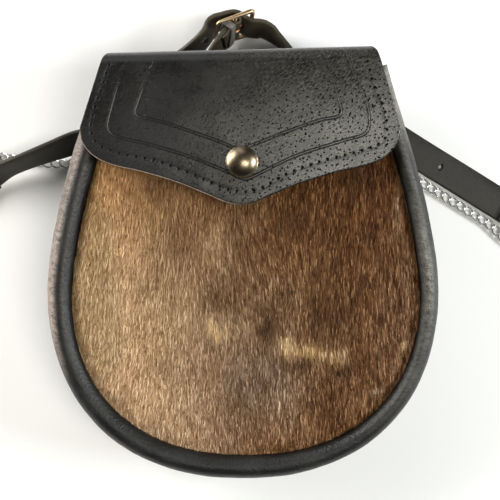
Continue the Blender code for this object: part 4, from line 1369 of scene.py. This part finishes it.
def hair_colours(rng, x, y, guard):
    """A colour for each hair: the hide's own tones with painted shade under the flap, its marks, some of
    which are painted shadow of the flap's edge, its locks and ticks with painted light and shade, and
    single hairs.
    """
    wander = (lattice(rng, x, y, 17.0, 26.0) - 0.5) * 34
    # the hide's tone across it, times painted shade that darkens it towards the flap
    colour = banded(HAIR_TONES, x + wander) * banded(PAINTED_HAIR_SHADE, y + wander * 0.4)
    clouds = lattice(rng, x, y, 9.0, 14.0) * 0.6 + lattice(rng, x, y, 4.0, 8.0) * 0.4
    colour *= (0.86 + 0.28 * clouds)[:, None]
    ragged = np.clip(0.45 + 1.3 * lattice(rng, x, y, 0.9, 4.0), 0, 1)
    contrast = np.interp(x, *np.array(HAIR_CONTRAST).T)
    for mark_x, mark_y, half_width, half_height, strength, tint in HAIR_MARKS:
        reach = ((x - mark_x) / half_width) ** 2 + ((y - MARK_DROP - mark_y) / half_height) ** 2
        share = strength * np.exp(-(reach**1.5)) * ragged
        colour += (np.array(tint) - colour) * share[:, None]
        contrast *= 1 - 0.5 * share
    # light and dark locks: partly the hide's own tone, partly painted light on the top hairs and painted
    # shade in the gaps; the ticks are painted shade between hairs
    locks = np.clip((lattice(rng, x, y, 0.5, 3.8) - 0.26) / 0.48, 0, 1) - 0.5
    shade_ticks = np.clip((lattice(rng, x, y, 0.55, 2.4) - 0.70) / 0.14, 0, 1)
    light = np.clip(1.0 + contrast * locks * 0.56, 0.2, 2.2) * (1 - 0.3 * shade_ticks)
    light *= 1 + contrast * rng.uniform(-0.14, 0.14, x.size)
    light *= np.where(guard > 0, 1 + 0.36 * contrast, np.where(guard < 0, 0.45, 1.0))
    colour *= np.clip(light, 0.12, 2.6)[:, None] ** np.array(LIGHT_POWERS)
    return np.clip(colour, 0.003, 0.85)


def hair_piece(name, points, tints):
    """A mesh of blades with five corners each: a face of four corners, and a pointed one."""
    total = len(points)
    first = np.arange(total)[:, None] * 5
    corners = np.concatenate([first + [0, 1, 2, 3], first + [3, 2, 4]], axis=1).ravel()
    starts = np.concatenate([[0], np.cumsum(np.tile([4, 3], total))[:-1]])
    mesh = bpy.data.meshes.new(name)
    mesh.vertices.add(total * 5)
    mesh.vertices.foreach_set("co", (points * MM).astype(np.float32).ravel())
    mesh.loops.add(total * 7)
    mesh.loops.foreach_set("vertex_index", corners.astype(np.int32))
    mesh.polygons.add(total * 2)
    mesh.polygons.foreach_set("loop_start", starts.astype(np.int32))
    layer = mesh.attributes.new("hair_colour", "FLOAT_COLOR", "POINT")
    layer.data.foreach_set("color", tints.astype(np.float32).ravel())
    mesh.materials.append(finish["hair"])
    mesh.update(calc_edges=True)
    mesh.validate()
    mesh.shade_smooth()
    dress(add_object(name, mesh), "hide")


def make_hair(hide):
    """Short hair that lies down the hide, each one a narrow blade with a point."""
    rng = np.random.default_rng(7)
    x, y = hair_roots(rng)
    length = HAIR_LENGTH * rng.uniform(0.72, 1.2, x.size)
    draw = rng.random(x.size)
    guard = np.where(draw < PALE_SHARE, 1.0, np.where(draw < PALE_SHARE + DARK_SHARE, -1.0, 0.0))
    length[guard < 0] *= DARK_LENGTH
    swirl = (lattice(rng, x, y, 24.0, 30.0) - 0.5) * 0.20 + (lattice(rng, x, y, 2.2, 6.0) - 0.5) * 0.16
    lean = swirl + rng.normal(0.0, 0.035, x.size) + np.interp(x, *np.array(HAIR_LEAN).T)
    limit = np.interp(x, *hair_limits(TIP_INSET)[0]) + rng.uniform(0.0, 1.9, x.size) ** 2 * 0.5
    length = np.minimum(length, y - limit)
    kept = length > 1.2
    x, y, length, lean, guard = x[kept], y[kept], length[kept], lean[kept], guard[kept]
    count = x.size
    colour = hair_colours(rng, x, y, guard)

    bend = rng.normal(0.0, 0.035, count)
    lifts = [np.full(count, -0.15), rng.uniform(0.75, 1.55, count), rng.uniform(0.55, 1.75, count)]
    rolls = rng.uniform(-0.75, 0.75, count)
    width = HAIR_WIDTH * rng.uniform(0.75, 1.25, count)
    width[guard != 0] *= TOP_WIDTH
    rolls[guard != 0] *= TOP_ROLL
    for lift in lifts[1:]:
        lift[guard != 0] += TOP_LIFT
    height = height_finder(hide, 60.0, 34.0)
    rows = []
    for share, lift in zip((0.0, 0.5, 1.0), lifts):
        px = x + (lean * share + bend * share * (1 - share) * 4) * length
        py = y - length * share
        pz = np.array([height(a, b) for a, b in zip(px.tolist(), py.tolist())])
        rows.append(np.stack([px, py, pz + lift], axis=1))
    root, middle, tip = rows
    half = np.stack([np.cos(rolls), lean * 0.6, np.sin(rolls)], axis=1) * (width / 2)[:, None]
    points = np.stack([root - half * 0.8, root + half * 0.8, middle + half, middle - half, tip], axis=1)
    matrix = np.array(POUCH)
    points = points @ matrix[:3, :3].T + matrix[:3, 3]
    tints = np.ones((count, 5, 4))
    tints[:, :, :3] = np.clip(colour[:, None, :] * np.array(BLADE_SHADES)[None, :, None], 0, 0.9)
    order = rng.permutation(count)
    for number, chosen in enumerate(np.array_split(order, HAIR_PIECES), 1):
        chosen = np.sort(chosen)
        hair_piece(f"hair_{number}", points[chosen], tints[chosen])


# ---------------------------------------------------------------- straps


def strap_section(station):
    """Points round a strap's section, whose long edges are rounded."""
    middle, across, out, half, thick = station
    corner = min(0.42 * thick, half * 0.5)
    flat, tall = half - corner, thick / 2 - corner
    points = []
    for start, side_across, side_out in ((0, 1, 1), (90, -1, 1), (180, -1, -1), (270, 1, -1)):
        for step in range(4):
            angle = math.radians(start + 30 * step)
            a = side_across * flat + corner * math.cos(angle)
            b = side_out * tall + corner * math.sin(angle)
            points.append(middle + across * a + out * b)
        if start in (0, 180):
            for share in (0.75, 0.5, 0.25):
                a = side_across * flat * (2 * share - 1)
                points.append(middle + across * a + out * (side_out * thick / 2))
    return points


def strap_piece(name, stations, place, slot, material, brown, *nodes):
    """A strap through stations (middle, across, out, half width, thickness)."""
    first, last = stations[0], stations[-1]

    def narrowed(station, less, share):
        middle, across, out, half, thick = station
        return (middle, across, out, max(half - less, 0.05), thick * share)

    whole = [narrowed(first, 0.7, 0.0), narrowed(first, 0.35, 0.6), *stations]
    whole += [narrowed(last, min(0.35, last[3] * 0.4), 0.6), narrowed(last, min(0.7, last[3] * 0.8), 0.0)]
    sections = [strap_section(station) for station in whole]
    sides = len(sections[0])
    bm = bmesh.new()
    layer = bm.verts.layers.float.new("brown")
    made = lay_grid(bm, sides, len(whole) - 1, lambda column, row: sections[row][column % sides])
    for vert in made:
        vert[layer] = brown(vert.co)
    close_seams(bm)
    return add_piece(name, bm, place, slot, [material], *nodes)


def skived(length):
    """The strap's thickness this far from a folded end."""
    share = clamp((length - SKIVE_START) / SKIVE_LENGTH)
    return SKIVED_THICK + (STRAP_THICK - SKIVED_THICK) * share


def fold_lift(length, turn):
    """From the strap's middle to that of its folded end, this far from the bar."""
    close = (STRAP_THICK + SKIVED_THICK) / 2 + GAP
    return close + (2 * turn - close) * max(1 - length / SKIVE_LENGTH, 0.0) ** FOLD_POWER


def strap_frames(stations):
    """A strap's frames, raised where it would sink into the table."""
    points = smooth_line(stations)
    for point in points:
        roll = math.radians(point.w)
        resting = STRAP_HALF * abs(math.sin(roll)) + STRAP_THICK / 2 * abs(math.cos(roll))
        point.z = max(point.z, resting)
    return route_frames(points)


def spaced(frames, step):
    """The frames about this far apart."""
    kept = [frames[0]]
    for frame in frames[1:-1]:
        if frame[0] - kept[-1][0] >= step:
            kept.append(frame)
    return [*kept, frames[-1]]


def fold(frames, at_end, inward, wire):
    """A strap's end turned round a bar and laid back: (bar, the way it faces, stations)."""
    _, middle, along, across, out = frames[-1 if at_end else 0]
    away = along if at_end else -along
    turn = wire + GAP + SKIVED_THICK / 2
    bar = middle + out * inward * turn
    stations = []
    for step in range(1, 16):
        angle = math.pi * step / 16
        spoke = away * math.sin(angle) - out * inward * math.cos(angle)
        stations.append((bar + spoke * turn, across, -spoke * inward, STRAP_HALF, SKIVED_THICK))
    for step in range(13):
        length = FOLD_LENGTH * step / 12
        _, middle, _, across, out = frame_at(frames, frames[-1][0] - length if at_end else length)
        place = middle + out * inward * fold_lift(length, turn)
        stations.append((place, across, -out, STRAP_HALF, SKIVED_THICK))
    return bar, away, stations


def buckle_point(along, out, up=0.0):
    return BUCKLE_CENTRE + BUCKLE_ALONG * along + BUCKLE_OUT * out + BUCKLE_UP * up


def buckle_stations(places, upwards):
    """Stations in the buckle, rolled so that the strap's width lies along the buckle's."""
    points = [buckle_point(along, out) for along, out in places]
    stations = []
    for index, point in enumerate(points):
        along = heading(points, index)
        side = level_side(along)
        roll = math.atan2(upwards.dot(along.cross(side)), upwards.dot(side))
        stations.append((*point, math.degrees(roll) % 360))
    return stations


def near_buckle(point):
    """How brown the leather is: bent and worn by the buckle, and on the left."""
    left = 0.2 * clamp((-60.0 - point.x) / 20.0)
    return max(0.85 * bell((point - BUCKLE_CENTRE).length, 34.0), left)


def waist_strap(name, stations, node):
    """One half of the waist strap."""
    return strap_piece(name, stations, TABLE, "strap_leather", finish["strap"], near_buckle, node)


def ring_end(frames, name):
    """A strap's first end, folded round a new ring: (its stations, how the ring hangs)."""
    bar, away, stations = fold(frames, False, 1, RING_WIRE)
    ring = (bar, away, frames[0][3])
    make_ring(name, *ring, TABLE)
    return stations[::-1], ring


def make_buckle_strap():
    """The strap's left half. It gives its frames, and how its ring hangs."""
    frames = strap_frames(BUCKLE_STRAP_ROUTE + buckle_stations(BUCKLE_STRAP_END, -BUCKLE_UP))
    total = frames[-1][0]
    whole, ring = ring_end(frames, "strap_ring_left")
    for length, middle, _, across, out in spaced(frames, STRAP_STEP):
        whole.append((middle, across, out, STRAP_HALF, skived(min(length, total - length))))
    whole += fold(frames, True, -1, BUCKLE_WIRE)[2]
    strap = waist_strap("strap_buckle_side", whole, "buckle_strap")
    turn = Matrix((BUCKLE_ALONG, BUCKLE_OUT, BUCKLE_UP)).transposed().to_4x4()
    place = Matrix.Translation(buckle_point(0.5, 0.0)) @ turn @ Matrix.Diagonal((*PRONG_SLOT, 1.0))
    slot = bmesh.new()
    bmesh.ops.create_cube(slot, size=1.0, matrix=place)
    cut(strap, slot, TABLE)
    return frames, ring


def make_keeper(frames):
    """A leather loop round the strap and its folded end, next to the buckle."""
    turn = BUCKLE_WIRE + GAP + SKIVED_THICK / 2

    def place(column, row):
        share, depth = KEEPER_BAND[row % len(KEEPER_BAND)]
        length = KEEPER_START + (KEEPER_END - KEEPER_START) * share
        _, middle, _, across, out = frame_at(frames, frames[-1][0] - length)
        high = skived(length) / 2 + GAP
        low = -fold_lift(length, turn) - SKIVED_THICK / 2 - GAP
        centre = middle + out * (high + low) / 2
        room = STRAP_HALF + KEEPER_EASE + KEEPER_THICK * depth
        tall = (high - low) / 2 + KEEPER_THICK * depth
        angle = math.tau * column / KEEPER_SIDES
        a = math.copysign(abs(math.cos(angle)) ** KEEPER_POWER, math.cos(angle))
        b = math.copysign(abs(math.sin(angle)) ** KEEPER_POWER, math.sin(angle))
        return centre + across * a * room + out * b * tall

    bm = bmesh.new()
    lay_grid(bm, KEEPER_SIDES, len(KEEPER_BAND), place)
    close_seams(bm)
    add_piece("strap_keeper", bm, TABLE, "strap_leather", [finish["keeper"]], "keeper")


def make_billet():
    """The strap's right half, with its holes and its tip. It gives how its ring hangs."""
    through = buckle_stations(BILLET_THROUGH, BUCKLE_UP)
    frames = strap_frames(BILLET_ROUTE + through + TAIL_ROUTE)
    total = frames[-1][0]
    whole, ring = ring_end(frames, "strap_ring_right")
    for length, middle, _, across, out in spaced(frames, STRAP_STEP):
        share = ((total - length) / TIP_LENGTH) ** TIP_POWER
        half = STRAP_HALF * min(1.0, TIP_BLUNT + (1 - TIP_BLUNT) * share)
        whole.append((middle, across, out, half, skived(length)))
    strap = waist_strap("strap_billet_side", whole, "billet_strap")
    at_prong = min(frames, key=lambda frame: (frame[1] - buckle_point(5.0, 0.9)).length)
    spacing = (at_prong[0] - FIRST_HOLE) / PRONG_HOLE_NUMBER
    holes = bmesh.new()
    for number in PLAIN_HOLES:
        _, middle, _, _, out = frame_at(frames, FIRST_HOLE + spacing * number)
        rod(holes, middle - out * 3, middle + out * 3, HOLE_RADIUS, 24)
    rod(holes, buckle_point(2.2, -0.3), buckle_point(8.0, 2.1), PRONG_HOLE, 24)
    cut(strap, holes, TABLE)
    return ring


def make_buckle():
    corners = []
    radii = []
    for side_along, side_up, start in ((1, 1, 0), (-1, 1, 90), (-1, -1, 180), (1, -1, 270)):
        along = side_along * (BUCKLE_HALF_LENGTH - BUCKLE_CORNER)
        up = side_up * (BUCKLE_HALF_WIDTH - BUCKLE_CORNER)
        for step in range(7):
            angle = math.radians(start + 15 * step)
            reach_along = along + BUCKLE_CORNER * math.cos(angle)
            reach_up = up + BUCKLE_CORNER * math.sin(angle)
            corners.append(buckle_point(reach_along, 0.0, reach_up))
            radii.append(BUCKLE_WIRE * (BUCKLE_RIGHT if side_along > 0 else BUCKLE_LEFT))
    bm = bmesh.new()
    sweep(bm, corners, radii, 16, cyclic=True)
    ends = [buckle_point(0, 0, up) for up in (-BUCKLE_HALF_WIDTH, BUCKLE_HALF_WIDTH)]
    rod(bm, *ends, BUCKLE_WIRE * BUCKLE_BAR, 16)
    close_seams(bm)
    add_piece("buckle_loop", bm, TABLE, "buckle_brass", [finish["brass"]], "buckle_frame")


def make_prong():
    """The prong: an eye round the buckle's bar, and a bent tip that lies on the far side."""
    line = []
    for step in range(13):
        angle = math.radians(120 + 20 * step)
        line.append((PRONG_EYE * math.cos(angle), PRONG_EYE * math.sin(angle), PRONG_WIRE))
    fine = smooth_line(line + PRONG_TIP, 4)
    points = [buckle_point(point.x, point.y) for point in fine]
    first = points[0] + (points[0] - points[1]) * 0.2
    last = points[-1] + (points[-1] - points[-2]) * 0.6
    radii = [0.001, *(point.z for point in fine), 0.001]
    bm = bmesh.new()
    sweep(bm, [first, *points, last], radii, 14, cyclic=False)
    close_seams(bm)
    add_piece("buckle_tongue", bm, TABLE, "buckle_brass", [finish["tongue"]], "buckle_prong")


# ---------------------------------------------------------------- rings and chains


def make_ring(name, bar, outward, along, place):
    """A D-ring: a straight bar and a bow that points outward."""
    points = [bar + along * RING_HALF * (step / 4 - 1) * 0.94 for step in range(9)]
    start = bar + outward * RING_LEG
    for step in range(33):
        angle = math.pi * step / 32
        bow = along * math.cos(angle) + outward * math.sin(angle)
        points.append(start + bow * RING_HALF)
    bm = bmesh.new()
    sweep(bm, points, [RING_WIRE] * len(points), 14, cyclic=True)
    close_seams(bm)
    add_piece(name + "_wire", bm, place, "bright_steel", [finish["steel"]], name)


def make_tab(side):
    """A strip on the back that turns round a ring's bar and comes back under itself."""
    name = "left" if side < 0 else "right"
    top_z = -GAP - TAB_THICK / 2
    turn = RING_WIRE + GAP + TAB_THICK / 2
    path = [(TAB_BAR_X - TAB_LENGTH + 1.4 * step, top_z) for step in range(17)]
    for step in range(15):
        angle = math.radians(90 - 180 * step / 14)
        path.append((TAB_BAR_X + turn * math.cos(angle), top_z - turn * (1 - math.sin(angle))))
    close_z = top_z - TAB_THICK - GAP
    path += [(TAB_BAR_X - 4, top_z - 2 * turn + 0.5), (TAB_BAR_X - 10, close_z)]
    path += [(TAB_BAR_X - 10 - 2 * step, close_z) for step in range(1, 8)]
    path = [Vector(point) for point in path]
    width = Vector((0.0, 1.0, 0.0))
    stations = []
    for index, point in enumerate(path):
        along = heading(path, index)
        middle = Vector((side * point.x, TAB_Y, point.y))
        out = Vector((side * -along.y, 0.0, along.x))
        stations.append((middle, width, out, TAB_WIDTH / 2, TAB_THICK))
    dressed = ("body_leather", finish["pebbled"], lambda point: 0.0, "ring_tab_" + name)
    strap_piece("tab_" + name, stations, POUCH, *dressed)
    bar = Vector((side * TAB_BAR_X, TAB_Y, top_z - turn))
    outward = Vector((side * math.cos(RING_HANG), 0.0, -math.sin(RING_HANG)))
    make_ring("pouch_ring_" + name, bar, outward, width, POUCH)
    to_table = TABLE.inverted() @ POUCH
    turned = to_table.to_3x3()
    return to_table @ bar, turned @ outward, turned @ width


def hook_on(ring, target):
    """Where a chain that leads to the target hangs on a ring's bow, and the way its wire runs."""
    bar, outward, along = ring
    centre = bar + outward * RING_LEG
    reach = target - centre
    pull = (outward * reach.dot(outward) + along * reach.dot(along)).normalized()
    return centre + pull * RING_HALF, pull.cross(outward.cross(along))


def link_mesh():
    """One curb link: a ring drawn out along x and twisted, so that its ends cross."""
    bm = bmesh.new()
    place = Matrix.Translation((LINK_HALF_WIDTH, 0.0, 0.0)) @ Matrix.Rotation(math.pi / 2, 4, "X")
    bmesh.ops.create_circle(bm, segments=8, radius=LINK_WIRE, matrix=place)
    spun(bm, list(bm.verts) + list(bm.edges), 20)
    for vert in bm.verts:
        x = vert.co.x + LINK_STRAIGHT * min(max(vert.co.x / 0.5, -1.0), 1.0)
        turn = LINK_TWIST * x / (LINK_HALF_WIDTH + LINK_STRAIGHT)
        vert.co = Matrix.Rotation(turn, 3, "X") @ Vector((x, vert.co.y, vert.co.z))
    return mesh_from("link", bm)


def hooked_roll(along, wire, twist):
    """The roll of a link whose end, twisted this much, stands square to a ring's wire."""
    width = along.cross(wire)
    side = level_side(along)
    turn = math.atan2(width.dot(along.normalized().cross(side)), width.dot(side)) - twist
    return math.degrees(turn - math.pi * round(turn / math.pi))


def make_chain(name, route, first_ring, last_ring, node):
    near, far = Vector(route[0][:3]), Vector(route[-1][:3])
    start, first_wire = hook_on(first_ring, near)
    end, last_wire = hook_on(last_ring, far)
    stations = [
        (*start, hooked_roll(near - start, first_wire, -LINK_TWIST)),
        *route,
        (*end, hooked_roll(end - far, last_wire, LINK_TWIST)),
    ]
    frames = route_frames(smooth_line(stations, 40))
    hooked = LINK_HALF_WIDTH + LINK_STRAIGHT - LINK_HOOK
    pitch = (frames[-1][0] - 2 * hooked) / (LINKS - 1)
    link = link_mesh()
    bm = bmesh.new()
    for number in range(LINKS):
        _, middle, along, across, out = frame_at(frames, hooked + pitch * number)
        bm.from_mesh(link)
        bm.verts.ensure_lookup_table()
        fresh = bm.verts[-len(link.vertices) :]
        turn = Matrix((along, across, out)).transposed().to_4x4() @ Matrix.Rotation(LINK_SLANT, 4, "Z")
        bmesh.ops.transform(bm, matrix=Matrix.Translation(middle) @ turn, verts=fresh)
    bpy.data.meshes.remove(link)
    add_piece(name, bm, TABLE, "bright_steel", [finish["steel"]], node)


# ---------------------------------------------------------------- stage


def soft_light(name, place, aim, size, power, colour):
    """A rectangular lamp that faces its aim, with its first side across x."""
    data = bpy.data.lights.new(name, "AREA")
    data.shape = "RECTANGLE"
    data.size, data.size_y = size
    data.energy = power
    data.color = colour
    light = add_object(name, data)
    light.location = place
    back = (light.location - Vector(aim)).normalized()
    wide = (Vector((1.0, 0.0, 0.0)) - back * back.x).normalized()
    light.rotation_euler = Matrix((wide, back.cross(wide), back)).transposed().to_euler()


def make_sky():
    """Light from all round, dark overhead where the camera is, and dim from the near side."""
    world = bpy.data.worlds.new("studio")
    bpy.context.scene.world = world
    world.use_nodes = True
    tree = world.node_tree
    toward = Value(tree, add_node(tree, "ShaderNodeTexCoord").outputs["Generated"])
    sockets = {0: toward, 1: Vector(DARK_SKY).normalized()}
    overhead = add_node(tree, "ShaderNodeVectorMath", sockets, operation="DOT_PRODUCT")
    glow = Value(tree, overhead.outputs["Value"]).ranged(0.50, 0.93, 1.25, 0.04)
    glow = glow * toward.parts()[1].ranged(-0.9, 0.1, 0.15, 1.0)
    tree.links.new(glow.socket, tree.nodes["Background"].inputs["Strength"])


def make_stage():
    """The floor, the lamps, the sky and the camera."""
    bm = bmesh.new()
    bmesh.ops.create_grid(bm, x_segments=1, y_segments=1, size=6.0)
    mesh = mesh_from("floor", bm)
    mesh.materials.append(pale_floor())
    floor = add_object("floor", mesh)
    for lamp in LIGHTS:
        soft_light(*lamp)
    make_sky()
    data = bpy.data.cameras.new("camera")
    data.sensor_width = 36.0
    data.lens = CAMERA_LENS
    data.clip_start = 0.01
    camera = add_object("camera", data)
    camera.location = CAMERA_PLACE
    bpy.context.scene.camera = camera
    bpy.context.scene.view_settings.view_transform = "Standard"


# ---------------------------------------------------------------- build

finish = {
    "pebbled": pebbled_leather(),
    "flap": flap_leather(),
    "suede": suede(),
    "cut_edge": cut_edge(),
    "strap": strap_leather("strap_leather", (0.0075, 0.0068, 0.0056), (0.030, 0.0275, 0.0225)),
    # the keeper is the strap's black leather painted light grey: painted light on its lit face
    "keeper": strap_leather("keeper_leather_painted_lit", (0.075, 0.068, 0.062), (0.23, 0.215, 0.20)),
    "hair": hair_finish(),
    "hide_skin": hide_skin(),
    "old_brass": metal("antique_brass", (0.15, 0.118, 0.076), (0.27, 0.22, 0.15), 0.25, 0.37, 0.5),
    "brass": metal("worn_brass", (0.36, 0.24, 0.13), (0.62, 0.47, 0.29), 0.24, 0.42, 0.8),
    # the prong's red colour is a painted reddish reflection from under the loop
    "tongue": metal("brass_painted_red_reflection", (0.36, 0.12, 0.05), (0.66, 0.33, 0.17), 0.26, 0.42, 0.8),
    "steel": metal("bright_steel", (0.36, 0.36, 0.34), (0.80, 0.79, 0.74), 0.20, 0.38, 0.9),
    "thread": waxed_thread(),
}

make_stage()
make_gusset()
make_back()
hide = make_hide()
flap = make_flap()
make_flap_stitches(flap)
make_stud()
post = frame["nodes"]["snap_post"]
post.data.materials.clear()
post.data.materials.append(finish["old_brass"])
make_hair(hide)
left_ring = make_tab(-1)
right_ring = make_tab(1)
strap_line, far_left_ring = make_buckle_strap()
make_keeper(strap_line)
far_right_ring = make_billet()
make_buckle()
make_prong()
make_chain("chain_links_left", LEFT_CHAIN_ROUTE, left_ring, far_left_ring, "chain_left")
make_chain("chain_links_right", RIGHT_CHAIN_ROUTE, right_ring, far_right_ring, "chain_right")
